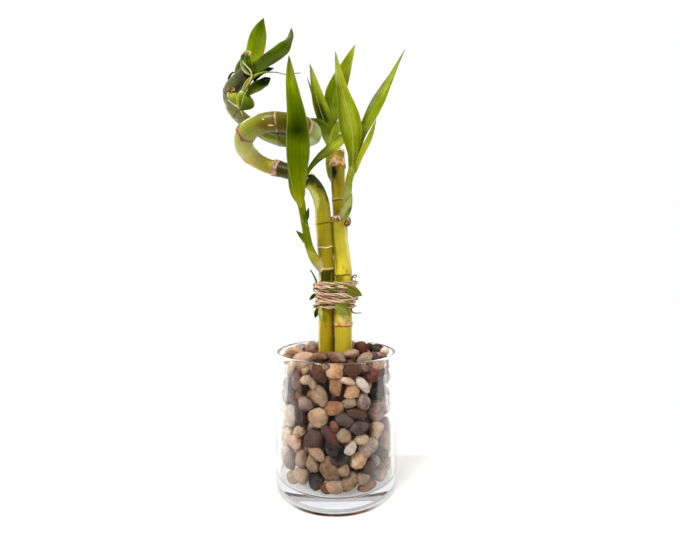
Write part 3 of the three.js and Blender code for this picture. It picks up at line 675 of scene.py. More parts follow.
def make_collar(name, number, line, place, reach, flare, rag, light, dark):
    along, centre, radius, _, side, across = cane_frames(line)
    spot = nearest(centre, place)
    points, cane, skin = [], [], []
    for layer in (COLLAR_THICK, 0.0):
        for v in np.linspace(0, 1, COLLAR_STEPS + 1):
            for _, cos, sin in circle(COLLAR_SIDES):
                broad = wander(120 + number, 1.0, (cos * 1.6, sin * 1.6, 0))
                fine = wander(130 + number, 1.0, (cos * 5, sin * 5, 0))
                far = reach[0] + (reach[1] - reach[0]) * v * max(1 + rag * (1.4 * broad + 1.1 * fine), 0.25)
                row = float(np.clip(spot + far / STALK_STEP, 0, len(along) - 1))
                low = min(int(row), len(along) - 2)
                middle = centre[low] + (centre[low + 1] - centre[low]) * (row - low)
                look = side[low] * cos + across[low] * sin
                points.append(middle + look * (radius[low] + 0.25 + layer + flare * v**1.5 * (0.8 + 0.7 * fine)))
                cane.append((cos * CANE_ROUND, sin * CANE_ROUND, row * STALK_STEP * MM + number))
                share = 0.45 + 1.3 * wander(140 + number, 1.0, (cos * 2.6, sin * 2.6, v * 2.4))
                skin.append(blended(linear(light), dark, float(np.clip(share, 0, 1))))
    faces = shell_faces(COLLAR_STEPS + 1, COLLAR_SIDES, True)
    under, last = (COLLAR_STEPS + 1) * COLLAR_SIDES, COLLAR_STEPS * COLLAR_SIDES
    for j in range(COLLAR_SIDES):
        k = (j + 1) % COLLAR_SIDES
        faces.append((k, j, j + under, k + under))
        faces.append((last + j, last + k, last + k + under, last + j + under))
    marks = {"worn": [0.5] * len(points), "cane": cane, "skin": skin}
    stand_for(make_mesh(name, points, faces, STALK, marks), "stalk")


# ---------------------------------------------------------------- shoots

# Greens as display colours, from painted shade for the bottom of a fold and for leaves far inside the tuft at the top,
# to a dried margin.
GREENS = {
    "night": (12, 18, 0), "dark": (38, 52, 0), "moss": (70, 88, 0), "leaf": (106, 126, 0), "bright": (138, 152, 4),
    "lime": (170, 180, 44), "pale": (204, 210, 126), "gold": (182, 180, 8), "cream": (238, 230, 178),
    "grey": (132, 146, 92), "olive": (112, 114, 24), "straw": (196, 182, 76), "rust": (150, 92, 44),
    "umber": (84, 44, 18), "sage": (140, 146, 60),
}
# Each stem: points with radii, then tones from base to top.
SHOOTS = {
    "shoot_left": ([(-8.5, -8, 172, 2.4), (-13.6, -13.2, 181, 4.1), (-17.3, -16.2, 186, 3.8), (-21.2, -20, 195, 3.2),
        (-23, -26, 206, 2.8), (-25, -35, 221, 2.7), (-26.7, -42, 231, 3.2), (-27.6, -45, 237, 2.4)],
        "cream cream straw lime bright bright leaf bright bright gold"),
    "shoot_right": ([(5, -6.5, 220, 4), (7.6, -9, 227, 3), (9.6, -11, 240.5, 3.1), (10.6, -12, 250, 2.9),
        (13, -13, 258, 3), (13.6, -13, 265, 2.2)], "pale pale pale lime lime bright"),
    "shoot_back": ([(-1.5, 16, 255, 3), (-5.5, 18.5, 264, 2.9), (-7, 18, 275, 2.7), (-6.6, 17, 283.5, 2.8),
        (-5.8, 16, 292, 2.4)], "bright lime lime lime bright"),
    "shoot_top": ([(-67.4, -32, 327.7, 4.4), (-65, -33.6, 329.2, 3.8), (-63.4, -34, 331.6, 3)], "dark moss moss"),
    "shoot_hook": ([(-88, -8, 320.5, 2.6), (-84, -17, 317, 3.2), (-79, -22, 313, 3.4), (-75.5, -25, 310.5, 2.8)],
        "rust cream lime lime"),
}
SHOOT_SIDES = 36


def tones_along(names, places):
    """Colours of a list of greens, spread evenly, at places from 0 to 1."""
    return spread([linear(GREENS[name]) for name in names], places)


def make_shoot(name, line, tones, seed, node):
    """A young stem wrapped in sheaths: shallow lengthwise ribs and slanting pale sheath margins."""
    along, centre, radius, _, side, across = cane_frames(line)
    share = along / along[-1]
    body = tones_along(tones.split(), share)
    points, blade, tone = [], [], []
    for i, s in enumerate(along):
        fade = 1 - 0.45 * smooth_step(along[-1] - 3, along[-1], s)
        for a, cos, sin in circle(SHOOT_SIDES):
            look = side[i] * cos + across[i] * sin
            size = radius[i] * fade + 0.12 * math.cos(5 * a + s / 6) + 0.12 * wander(seed, 3, centre[i] + look * 3)
            # a sheath's margin climbs slantwise round the stem, three times along it
            margin = (share[i] * 3 + a / (2 * math.pi) + seed * 0.37) % 1
            edge = bell(min(margin, 1 - margin), 0.035) * smooth_step(0.12, 0.3, share[i])
            points.append(centre[i] + look * (size + 0.18 * edge))
            blade.append((a * 3, s * 0.05, seed))
            tone.append(body[i] * (0.86 + 0.14 * margin) * (1 - 0.6 * edge) + linear(GREENS["pale"]) * 0.6 * edge)
    faces = tube_faces(len(along), SHOOT_SIDES)
    stand_for(make_mesh(name, points, faces, LEAF, {"blade": blade, "tone": tone}), "shoot", node)


# ---------------------------------------------------------------- leaves

# rib: points in millimetres. left and right: half widths either side of the rib at even places from base
# to tip; right is given where it differs. face: the way the upper side looks, at even places. fold: how far
# each margin is lifted, as a share of the half width, from base to tip; below zero it wraps back round the
# stem. tones: left margin, middle and right margin, or one for all three, with a slash between places from
# base to tip. line: how pale the midrib is. hem: how pale the margins are. wave: how wavy they are.
LEAVES = {}


def toned(text):
    rows = [row.split() for row in text.split("/")]
    return [row * 3 if len(row) == 1 else row for row in rows]


def blade_spec(rib, left, face, fold, tones, right=None, line=0.3, hem=0.35, wave=0.4, material=LEAF):
    return dict(rib=rib, left=left, right=right or left, face=face, fold=fold, tones=toned(tones), line=line,
                hem=hem, wave=wave, material=material)


def leaf(name, *shape, **looks):
    LEAVES[name] = blade_spec(*shape, **looks)


leaf("bract_left_low", [(-20.5, -22.5, 195), (-23.5, -26.5, 200), (-27, -29.5, 203.5), (-30.2, -33, 206.5)],
     [1, 3, 2.2, 0.2], [(-0.1, -1, 0.2)], [-0.8, 0.2, 0.3],
     "lime bright bright/bright leaf bright/moss")
leaf("bract_left_high", [(-23.6, -34, 212), (-21.5, -35.5, 218.5), (-20.3, -36.5, 223.5)],
     [0.8, 2.4, 1.4, 0.2], [(0.3, -0.9, 0.2)], [-0.7, 0.3],
     "leaf/moss/moss")
# The tones 'moss dark moss' and 'leaf moss moss' halfway up are painted shade, where the loop's front pass behind the
# blade keeps light from shining through it.
leaf("leaf_left_main", [(-25.6, -44.5, 222), (-26.3, -48, 233), (-26.8, -52, 247), (-26, -59, 261), (-26.2, -64, 276),
      (-28.6, -66, 293), (-30.6, -65, 309), (-31.9, -62, 323.9)],
     [0.8, 4, 5, 6.8, 8.2, 8.4, 8, 7, 6, 4.8, 3.4, 2.2, 0.2],
     [(-0.1, -1, 0.3), (0, -1, 0.1), (0.1, -1, 0), (0.15, -1, -0.05)], [-0.7, 0.05, 0.1, 0.12, 0.12, 0.2],
     "lime gold lime/bright/leaf leaf bright/leaf/leaf/moss dark moss/leaf moss moss/leaf/bright bright leaf/"
     "bright leaf grey/grey dark grey",
     right=[0.8, 4, 5, 6.6, 8, 8.2, 7.6, 6.2, 5, 4.2, 3.2, 2, 0.2], line=0, hem=0.5)
leaf("leaf_left_crossing", [(-26, -43, 228), (-21.5, -37.5, 248), (-14.5, -29.5, 260.5), (-4.5, -20, 272),
      (6.5, -9, 287)],
     [0.8, 1.2, 1.9, 3.4, 5.2, 5.8, 4.2], [(-0.3, -0.9, 0.2), (-0.3, -0.9, 0.3), (-0.1, -1, 0.25)], [0.6, 0.3, 0.25],
     "moss moss dark/moss moss dark/moss leaf dark/leaf lime leaf/bright lime lime/leaf lime lime",
     right=[0.8, 1.2, 1.9, 3.2, 4.8, 5, 3.6], line=0.5, hem=0.3)
leaf("leaf_left_sheath", [(-27.8, -45, 225), (-31, -47, 236), (-34.3, -48, 249)],
     [0.6, 2.8, 2.8, 1.6, 0.2], [(-0.3, -0.9, 0.2)], [-0.6, 0.1, 0.3],
     "bright gold pale/leaf leaf pale/leaf moss lime", right=[0.6, 3, 2.8, 1.6, 0.2], hem=0.6)
leaf("bract_right", [(4.8, -11.6, 219), (8.9, -14, 227.5), (12.9, -15.5, 238.5)],
     [2, 4.4, 4, 2.4, 0.2], [(0.1, -1, 0.1)], [-0.6, -0.3, 0.2],
     "cream pale pale/pale/lime pale lime/bright lime bright", line=0.2, hem=0.6)
leaf("leaf_right_front", [(12.9, -15, 250), (13.6, -15.6, 262), (13.7, -16, 275.5), (12.4, -18, 289), (8.7, -21, 305),
      (4.4, -23, 321), (1.4, -23, 336), (-0.4, -22, 349.5)],
     [0.8, 3.4, 4.2, 7, 9.2, 8.4, 6.2, 4.4, 3.2, 1.8, 0.2],
     [(0.2, -1, 0), (0.1, -1, 0), (-0.1, -1, 0)], [-0.8, -0.2, 0.12, 0.3, 0.5],
     "lime bright pale/leaf olive lime/leaf bright bright/leaf lime bright/leaf lime bright/leaf bright lime/"
     "pale lime lime/grey lime grey",
     right=[0.8, 3.4, 4.2, 7.4, 9.8, 9.2, 6.6, 4.6, 3.2, 1.8, 0.2], line=0.55, hem=0.5)
leaf("leaf_right_long", [(14.4, -13, 256), (16.4, -11, 271), (20.5, -8.5, 289), (28, -7, 304.5), (36.6, -8, 319),
      (45, -11, 334), (56, -14, 355.5)],
     [0.8, 2.6, 3.4, 4.8, 6, 6.4, 6.2, 4.6, 2.8, 1.5, 0.2],
     [(-0.2, -1, 0.2), (-0.2, -1, 0.2), (-0.5, -0.8, 0.3)], [-0.4, 0.1, 0.2, 0.4, 0.6],
     "bright lime lime/leaf bright bright/moss lime bright/leaf bright bright/grey bright bright/grey lime bright/"
     "lime lime grey/grey", right=[0.8, 2, 2.4, 2.8, 3.8, 5.2, 5.8, 4.4, 2.6, 1.5, 0.2], line=0.3, hem=0.3)
leaf("leaf_right_small", [(15.4, -13, 256), (20.6, -15, 270.5), (26.6, -18, 282), (32, -20, 296.5)],
     [1.2, 1.9, 2.7, 2, 0.2], [(0.1, -1, 0.2)], [0.4, 0.2],
     "lime lime pale/lime gold lime/lime/bright", line=0.1, hem=0.3)
leaf("leaf_back_folded", [(-6.1, 13.5, 283), (-8, 13, 296), (-11, 12, 308), (-16, 10, 322), (-19.6, 8, 338),
      (-23, 6, 355)],
     [0.8, 3.4, 5.4, 7.4, 7.6, 6, 4.2, 2.4, 0.2], [(0.3, -0.9, 0), (0.4, -0.9, 0.1)], [-0.7, 0.2, 0.5, 0.6],
     "lime/bright lime lime/dark dark leaf/leaf dark lime/leaf bright lime/bright lime lime/grey",
     right=[0.8, 3.4, 5, 6.4, 6.4, 5.4, 3.8, 2.2, 0.2], line=0.5, hem=0.4)
leaf("leaf_back_thin", [(-8, 17.5, 288), (-14, 16.5, 311), (-20.5, 15, 331), (-25.8, 13.5, 346.8)],
     [1.2, 2.2, 2.2, 1.4, 0.2], [(0.2, -1, 0)], [0.6, 0.5],
     "moss/moss leaf grey/grey leaf grey")
leaf("leaf_back_tall", [(-5.8, 16.5, 284), (-5.3, 19, 300), (-4.4, 20.5, 316), (-2, 21.5, 333.5), (5.4, 21.5, 352.5),
      (16.8, 18, 378.8)],
     [0.8, 3.4, 4.2, 6.6, 9, 9.4, 8, 5.8, 3.4, 0.2],
     [(0.1, -1, 0), (0, -1, 0.1), (-0.2, -1, 0.1)], [-0.5, 0.1, 0.15, 0.15, 0.2],
     "pale lime pale/lime lime bright/bright lime leaf/leaf/leaf leaf moss/bright leaf leaf/bright bright lime/"
     "bright lime lime", right=[0.8, 3.2, 3.8, 5.6, 8.2, 9, 8, 5.8, 3.4, 0.2], line=0.15, hem=0.4)
leaf("leaf_back_short", [(-7, 14.5, 288), (-9.6, 11.5, 297.5), (-15.6, 8.5, 304), (-23, 5, 307.5)],
     [2.4, 5, 5.8, 4.4, 0.2], [(0.1, -0.9, 0.4), (0, -0.8, 0.6)], [0.4, 0.3],
     "pale pale lime/lime leaf leaf/leaf moss leaf/leaf leaf moss")
leaf("leaf_back_bract", [(-4.6, 13, 284), (-1.6, 11.5, 295.5), (3.2, 10, 309)],
     [2.4, 4.2, 3.8, 0.2], [(0.2, -1, 0)], [-0.4, 0.2],
     "pale lime pale/lime bright lime/bright lime pale", right=[2.4, 3.8, 3.4, 0.2], hem=0.5)
leaf("leaf_top_upright", [(-63.6, -33, 328), (-62.5, -30.5, 341), (-61, -27.5, 355), (-58.6, -25, 368),
      (-56.9, -24, 374.5)],
     [4.4, 6.4, 7.4, 7.4, 6.6, 4, 0.3], [(-0.1, -1, -0.1), (0.1, -1, -0.1)], [0.3, 0.1, 0.15],
     "moss bright bright/bright/bright leaf bright/leaf/leaf moss leaf/moss",
     right=[4.4, 6.2, 7, 7, 6.4, 4.2, 0.3], line=0.05, hem=0.3)
leaf("leaf_top_curled", [(-64, -36, 323.5), (-61, -36.5, 328), (-56.1, -36.5, 331.6), (-46.8, -38, 336.7),
      (-38, -40, 342.3), (-34.5, -41, 346.9), (-33.5, -41, 351), (-33, -40, 356.8)],
     [3, 4.6, 5.4, 5.8, 6, 6, 5.2, 2.2, 2.2, 0.2],
     [(0.1, -0.9, 0.2), (0.1, -0.95, 0.2), (0.7, -0.5, 0.3)], [0.2, 0.1, 0.12, 0.2, 0.7],
     "leaf moss dark/leaf moss moss/moss/moss moss dark/leaf moss moss/leaf moss moss/pale grey moss/dark grey dark",
     right=[2.8, 4.2, 5, 5.4, 5.6, 5.6, 5, 2.2, 2.2, 0.2], line=0, hem=0.3)
leaf("leaf_top_whorl", [(-62.6, -37, 324), (-66.3, -39, 328.5), (-67.6, -40, 334.5), (-65.6, -39.5, 340.4)],
     [2, 4.4, 5, 4, 2.6], [(-0.2, -1, 0)], [-0.1, -0.3, -0.2],
     "cream moss moss/pale dark moss/grey moss leaf/moss dark moss/cream straw cream",
     right=[2, 4.6, 5, 4.4, 2.8], line=0.4, hem=0.8)
# Its near-black tones are painted shade, inside the tuft at the top.
leaf("leaf_top_dark", [(-63, -33.5, 321), (-57, -35, 325.5), (-47, -35.5, 329)],
     [3, 5, 4.6, 0.6], [(0.1, -0.8, 0.5)], [0.3, 0.2],
     "dark night night/night/moss night night", right=[3, 5, 4.2, 0.6], line=0.1, hem=0.2)
leaf("leaf_top_tendril", [(-69.5, -36.5, 311), (-63.5, -38, 319), (-54.5, -41.5, 322), (-44, -46, 320.5),
      (-35.5, -49, 317.5), (-25.2, -51, 317.6)],
     [2, 2.6, 2.4, 1.6, 0.9, 0.5, 0.4, 0.35, 0.2], [(0.1, -0.8, 0.5)], [0.2, 0.4],
     "lime olive olive/lime olive moss/lime moss dark/lime moss dark/grey moss dark/grey/dark",
     right=[2, 2.8, 2.6, 1.8, 0.9, 0.5, 0.4, 0.35, 0.2], line=0.5, hem=0.4)
# Its near-black tones towards the tip are painted shade under the tuft above.
leaf("leaf_top_under", [(-67.4, -34.5, 309.4), (-61.5, -36, 314), (-55.5, -36.5, 318), (-49.1, -36.5, 321.2)],
     [1.4, 3, 4.4, 5.4, 4.6, 5, 0.4], [(0.1, -1, 0)], [0.3, 0.15],
     "leaf olive olive/leaf moss olive/dark night moss/night night dark",
     right=[1.2, 2.6, 3.4, 3.6, 2.4, 2.8, 0.3], line=0.1, hem=0.1, wave=1.2)
leaf("leaf_hook", [(-68.6, -32, 313.5), (-70.4, -34.5, 306.5), (-72.4, -35.5, 297)],
     [1.2, 4.2, 5.2, 4.4, 2.6, 0.4], [(-0.1, -0.95, 0.1), (0.1, -0.95, -0.1)], [0.15, 0.15],
     "leaf lime pale/moss leaf lime/moss moss lime/dark moss pale",
     right=[0.6, 2.8, 5.6, 8.2, 10.2, 10.4, 9.4, 0.3], line=0.6, hem=0.5)

# Pale sheath margins, dry tips and a dry curl: rib, half width, and tones.
MOUTHS = {
    "sheath_mouth_top": ([(-69.9, -38, 335), (-68.6, -40.5, 330.6), (-65.4, -41, 327), (-62.8, -40.5, 323.6),
        (-62.6, -40, 320), (-65.4, -39.5, 315.5), (-69.2, -37.5, 310.6)], 0.55, "cream pale cream/cream pale cream"),
    "sheath_mouth_hook": ([(-88, -13, 315.5), (-81.4, -19, 309.2), (-74.6, -28, 301.9), (-71, -31, 294.5)], 0.9,
        "cream pale cream/cream lime pale/lime pale cream"),
    "sheath_tip_one": ([(-86.8, -16.5, 328), (-86, -17.5, 331.6), (-82.8, -19, 334.4), (-80, -20, 334)], 1.1,
        "moss dark moss/dark dark moss"),
    "sheath_tip_two": ([(-79.4, -22, 331), (-77.4, -24, 336), (-74.4, -26, 341.2)], 2.6,
        "olive olive grey/grey moss grey"),
    "sheath_curl": ([(4.6, -8.8, 221.5), (8.2, -10, 220.4), (10.4, -10.4, 218), (10.2, -10.8, 214.6), (8, -11, 213.4),
        (7.2, -11.4, 215.4), (8.8, -12.2, 216.2)], 1.7,
        "cream rust cream/rust cream rust/rust rust cream/umber rust rust"),
    "bud_scale": ([(-86.2, -22, 318), (-82.4, -24.4, 319), (-78.6, -25.6, 317)], 1.9,
        "cream rust umber/rust umber rust/cream rust cream"),
    "bract_tip_right": ([(6.4, -12.8, 218.6), (9.4, -14.6, 222.6), (12.2, -15.4, 227.4)], 1.7,
        "pale lime lime/lime bright moss/moss moss dark"),
}
DRY = ("sheath_curl", "bud_scale")

BLADE_THICKNESS, BLADE_ACROSS, BLADE_STEP = 0.35, 20, 1.2
SOFTEN = (0.25, 0.5, 0.25)


def blade_mesh(name, spec, seed):
    """A closed thin blade: its two faces meet at a fine margin, and both ends close."""
    centre, along = spline(spec["rib"], BLADE_STEP)
    share = along / along[-1]
    tangents = unit(np.gradient(centre, axis=0))
    side = unit(np.cross(spread(spec["face"], share), tangents))
    up = np.cross(tangents, side)
    left, right, fold = (spread(spec[key], share) for key in ("left", "right", "fold"))
    for widths in (left, right, left, right, left, right):
        widths[1:-1] = np.convolve(widths, SOFTEN, "valid")
    margins = [tones_along([row[k] for row in spec["tones"]], share) for k in range(3)]
    pale = linear(GREENS["pale"])
    ribbed = min(1, 0.2 + 3 * spec["line"])
    top, bottom, blade, tone = [], [], [], []
    for i, s in enumerate(along):
        for u in np.linspace(-1, 1, BLADE_ACROSS + 1):
            half = left[i] if u < 0 else right[i]
            bend = fold[i] * (abs(u) ** (1.35 if fold[i] > 0 else 2)) * half
            ripple = spec["wave"] * u * u * wander(seed, 11, (s, u * 2.0, seed)) * min(1, half / 4)
            spot = centre[i] + side[i] * (u * half * math.cos(0.35 * fold[i])) + up[i] * (bend + ripple)
            thick = BLADE_THICKNESS * (0.25 + 0.75 * (1 - u * u)) / 2 + 0.12 * bell(u, 0.09) * ribbed
            top.append(spot + up[i] * (thick - 0.18 * ribbed * bell(u, 0.07)))
            bottom.append(spot - up[i] * thick)
            blade.append((u * half * 0.06, s * 0.02, seed * 1.7))
            rim = smooth_step(0.15, 0.95, abs(u))
            paint = margins[1][i] * (1 - rim) + margins[2 if u < 0 else 0][i] * rim
            paler = max(spec["line"] * bell(u, 0.06), spec["hem"] * smooth_step(0.88, 1.0, abs(u)))
            tone.append(paint * (1 - paler) + pale * paler)
    rows, columns = len(centre), BLADE_ACROSS + 1
    faces = shell_faces(rows, columns, False)
    under = rows * columns
    for i in range(rows - 1):
        a, b = i * columns, (i + 1) * columns
        faces.append((a, b, b + under, a + under))
        a, b = a + columns - 1, b + columns - 1
        faces.append((b, a, a + under, b + under))
    for j in range(columns - 1):
        faces.append((j + 1, j, j + under, j + 1 + under))
        a = (rows - 1) * columns + j
        faces.append((a, a + 1, a + 1 + under, a + under))
    return make_mesh(name, top + bottom, faces, spec["material"], {"blade": blade * 2, "tone": tone * 2})


def make_mouths():
    """Thin pale margins and dry tips, each as wide all along."""
    for number, (name, (rib, half, tones)) in enumerate(MOUTHS.items()):
        widths = [half * 0.5, half, half, half * 0.8, half * 0.2]
        spec = blade_spec(rib, widths, [(-0.2, -1, 0.1)], [-0.4, -0.4], tones, line=0.2, hem=0.5, wave=0.2,
                          material=DRY_LEAF if name in DRY else LEAF)
        stand_for(blade_mesh(name, spec, 71 + number), "leaf")


# ---------------------------------------------------------------- pebbles

TONES = {
    "ivory": (240, 222, 204), "cream": (230, 198, 166), "peach": (250, 212, 178), "sand": (196, 158, 126),
    "beige": (178, 148, 124), "honey": (218, 166, 118), "clay": (168, 118, 84), "rust": (222, 158, 108),
    "taupe": (130, 98, 82), "rose": (214, 184, 168), "mauve": (156, 128, 120), "plum": (104, 76, 68),
    "maroon": (112, 62, 48), "russet": (142, 86, 62), "umber": (92, 62, 42), "slate": (104, 90, 84),
    "olive": (138, 104, 74), "black": (28, 20, 20),
}
# The second tone of each tone's patches.
SECONDS = {
    "ivory": "cream", "cream": "honey", "peach": "ivory", "sand": "beige", "beige": "sand", "honey": "peach",
    "clay": "rust", "rust": "peach", "taupe": "rose", "rose": "taupe", "mauve": "taupe", "plum": "maroon",
    "maroon": "russet", "russet": "clay", "umber": "russet", "slate": "plum", "olive": "sand", "black": "slate",
}
# In millimetres: the inside of the glass that stones keep to, and the rounded edge of its floor.
VASE_INSIDE, VASE_FLOOR = 46.3, 11.2
VASE_ROUND, VASE_ROUND_FROM = 3.2, 43.2
# Random stones against a wall: the least gap between them, the lowest height and the number of tries; and
# those of the layer below the top stones: how far out they reach, the least gap and the number of tries.
WALL_GAP, WALL_LOWEST, WALL_TRIES = 10.6, 17, 2600
UPPER_REACH, UPPER_GAP, UPPER_TRIES = 38, 9.6, 3000
# How far out the two inner rings of stones stand.
INNER_SEATS = (38.5, 27.5)
# Tones and finishes that the hidden stones are drawn from, and the finish and squareness of a row without them.
LIGHT = ["ivory", "cream", "peach", "sand", "beige", "honey", "clay", "rust", "taupe", "rose"]
DARK = ["mauve", "plum", "maroon", "russet", "umber", "slate", "olive", "black", "taupe", "clay"]
BACK_FINISHES = ["plain", "plain", "plain", "veined", "speckled", "rough"]
USUAL = ("plain", 0.2)

# Stones against the glass at the front: degrees round from the front towards +X, height of the centre,
# length, breadth, tilt of the length from level in degrees, tone, finish, and how square it is.
WALL_STONES = [
    (-52, 100, 12, 8, 80, "peach"), (-35, 105, 10, 7.5, 0, "sand"), (-31, 102, 7, 5, 60, "cream"),
    (-42, 92, 17, 8, -75, "mauve", "plain", 0.1), (-31, 95, 9.5, 7.5, 10, "cream", "rough", 0.3),
    (-23, 93, 11, 6.5, -60, "sand", "plain", 0.3), (-17, 100, 16, 10, -60, "umber"),
    (-1, 101, 12.5, 7.5, -14, "rust", "rough", 0.8), (0, 91, 13.5, 9.5, 96, "clay", "rough", 0.8),
    (17, 102.5, 14.5, 9.5, 0, "umber"), (29, 103.5, 6, 5.5, 0, "mauve", "plain", 0.1),
    (41, 97, 13.5, 12, -25, "maroon", "plain", 0.1), (50, 103.5, 15, 7, 4, "sand"),
    (11, 95.5, 12.5, 5.5, -14, "peach", "plain", 0.4), (27, 91.5, 16, 7.2, -52, "ivory"),
    (16, 87, 13.5, 12, 20, "honey", "plain", 0.5), (29, 78.5, 13.5, 12.5, 80, "rose", "speckled"),
    (-16, 83.5, 16, 11, -62, "sand"), (-32, 76.5, 13.5, 11, -10, "taupe", "plain", 0.4),
    (-18.5, 67.5, 17.5, 15.5, 60, "cream", "veined", 0.5), (-2.5, 75.5, 15, 10.5, 8, "clay", "plain", 0.6),
    (13, 79, 10.5, 7.5, 0, "beige"), (21, 71, 17, 7, -16, "plum"), (49, 68, 16.5, 13.5, 80, "taupe"),
    (53, 83, 14, 12.5, 10, "black", "rough", 0.5), (-61, 62, 17, 13, 90, "ivory", "plain", 0.1),
    (-39, 69, 21, 7.5, -80, "slate", "plain", 0.1), (-1.5, 62.5, 8.5, 6.5, -70, "russet", "plain", 0.1),
    (8, 55, 12.5, 11, -20, "sand"), (-40, 54.5, 10.5, 8.5, 20, "cream", "veined", 0.3),
    (-23, 50.5, 15.5, 14, 80, "plum", "plain", 0.1), (-19, 42, 15, 8, -30, "sand", "plain", 0.1),
    (-5, 55.5, 18, 10.5, -50, "plum"), (9, 67, 16, 9.5, -30, "slate", "plain", 0.3),
    (23.5, 60, 17.5, 11, 0, "slate", "plain", 0.3), (26, 51, 11.5, 7.5, 0, "cream", "plain", 0.3),
    (47.5, 54, 14, 11.5, 75, "cream", "veined", 0.6), (34.5, 43, 19, 13, 38, "rose", "plain", 0.4),
    (66, 40, 19, 10.5, 70, "sand"), (14.5, 46, 11, 7.8, 62, "ivory", "plain", 0),
    (23.5, 35.5, 13.5, 12, 0, "honey", "veined", 0.6), (-48, 45.5, 13, 11.5, 0, "rust"),
    (-37, 34, 13, 9.5, 85, "sand", "plain", 0.1), (-24, 33.5, 13.5, 9.5, -60, "beige", "rough", 0.8),
    (-57, 28, 14.5, 10.5, 90, "mauve"), (-1, 45.5, 16, 11, -40, "black", "plain", 0.3),
    (4, 38, 15, 7.5, 5, "black", "plain", 0.3), (-6, 30.5, 18, 14, -60, "olive", "plain", 0.1),
    (7.5, 30.5, 11, 9.5, -100, "beige", "veined", 0.9), (-38, 22, 14, 12, 0, "beige"),
    (-20, 21, 14.5, 11.5, 90, "black"), (-1.5, 18, 14, 12, 0, "beige", "plain", 0.1),
    (14, 20.5, 15.5, 11.5, 60, "olive"), (28, 22, 12.5, 9.5, 0, "beige", "plain", 0.1),
    (35, 29, 13, 11.5, 60, "plum"), (54, 20, 15.5, 12, 90, "taupe"), (33, 15.5, 16, 8.5, 4, "russet"),
    (69, 23, 16, 11, 90, "taupe"), (76, 50, 14, 11, 80, "mauve"), (-67, 45, 14, 11, 70, "peach"),
    (-74, 28, 14, 11, 80, "ivory"), (-74, 60, 13, 11, 0, "beige"), (-66, 78, 13, 11, 40, "mauve"),
    (-58, 88, 12, 10, 70, "slate"), (68, 92, 13, 11, 30, "umber"), (70, 70, 14, 11, 60, "rose"),
    (-50, 17.5, 12, 10, 0, "sand"), (58, 34, 11, 9, 10, "plum"), (-9, 17, 9, 8, 0, "umber"),
    (43, 32, 9, 8, 0, "taupe"),
]

# Loose stones on top: centre, half sizes, turn about Z and tilt in degrees, tone, finish, squareness.
TOP_STONES = [
    ((-36, 10, 106.5), (9, 6, 3.6), 20, 12, "honey", "plain", 0.4),
    ((-32, 24, 106), (6.5, 5.5, 4.2), -30, 0, "taupe", "plain", 0.1),
    ((-21.5, 12, 108.5), (5.6, 5, 6.3), 0, 8, "rose"), ((-26, -14, 105.5), (9, 7, 5), 8, -4, "cream", "plain", 0.1),
    ((-12, -23, 108.8), (7, 5, 4), 12, 0, "olive", "plain", 0.1),
    ((1, -27, 108.8), (7.4, 5.4, 4.6), -12, 12, "taupe", "veined", 0.1),
    ((12, -24, 111.5), (6.4, 4.6, 3.2), 14, -6, "beige", "plain", 0.1),
    ((23, -23, 106.6), (7.2, 5.6, 4.8), 30, -14, "sand", "plain", 0.4),
    ((20, -4, 112), (6.2, 5.6, 5.6), 40, 18, "maroon", "plain", 0.5),
    ((29, -13, 107), (6, 5, 3.8), 0, 10, "slate", "plain", 0.3),
    ((36, 9, 108.6), (6, 5, 3.8), -35, 8, "black", "rough", 0.7), ((28, 16, 108.2), (5.8, 5, 4.2), 20, 0, "plum"),
    ((37, -4, 105.2), (7.4, 5, 3.4), 60, 6, "taupe"), ((41, 2, 107.6), (4, 4.4, 3.8), 0, 0, "ivory", "plain", 0.1),
    ((-12, 19, 109.4), (6.8, 5.4, 5), -20, 6, "sand"), ((12, 20, 109), (7, 6, 4.6), 25, -8, "beige"),
    ((-11, 35, 106), (8, 6, 4.6), 10, 6, "plum"), ((12, 35, 106), (7.2, 6.2, 5), -18, 4, "honey", "veined", 0.3),
]

# Stones that fill the gaps between those on top and the stalks.
FILLER_STONES = [
    ((-5, -21, 102.5), (7, 5, 4.8), "umber"), ((9.5, -21, 103), (7, 5, 5), "russet"),
    ((20, -14, 104), (6, 5, 5), "plum"), ((-19, -16, 103), (6, 5, 5), "slate"), ((24, 4, 105), (6, 5, 4.6), "sand"),
    ((-20, 2, 104), (6, 5.5, 5), "umber"),
]


class Ball:
    """A fine sphere of triangles whose points can be pushed and smoothed."""

    def __init__(self, detail):
        mesh = bmesh.new()
        bmesh.ops.create_icosphere(mesh, subdivisions=detail, radius=1)
        self.points = np.array([v.co[:] for v in mesh.verts])
        self.faces = [tuple(v.index for v in f.verts) for f in mesh.faces]
        edges = np.array([(e.verts[0].index, e.verts[1].index) for e in mesh.edges])
        mesh.free()
        self.near = np.vstack([edges, edges[:, ::-1]])
        self.count = np.bincount(self.near[:, 0], minlength=len(self.points))[:, None]

    def smoothed(self, points):
        total = np.zeros_like(points)
        np.add.at(total, self.near[:, 0], points[self.near[:, 1]])
        return (points + total / self.count) / 2


FINE, COARSE = Ball(4), Ball(3)


def stone_shape(ball, rng, square):
    """A worn lump that fills the cube from -1 to 1: a ball with random sides ground off."""
    points = ball.points.copy()
    for _ in range(9 + int(5 * square)):
        way = unit(rng.normal(size=3))
        depth = rng.uniform(0.80 - 0.26 * square, 0.95 - 0.16 * square)
        over = np.maximum(points @ way - depth, 0)
        points -= np.outer(over * (0.8 + 0.18 * square), way)
    for _ in range(3 if square < 0.35 else 2):
        points = ball.smoothed(points)
    for size, reach in ((0.05, 2.2), (0.018, 6.0)):
        for _ in range(2):
            way = rng.normal(size=3) * reach
            points = points * (1 + size * np.sin(points @ way + rng.uniform(0, 6)))[:, None]
    low, high = points.min(axis=0), points.max(axis=0)
    return (points - (low + high) / 2) / ((high - low) / 2)


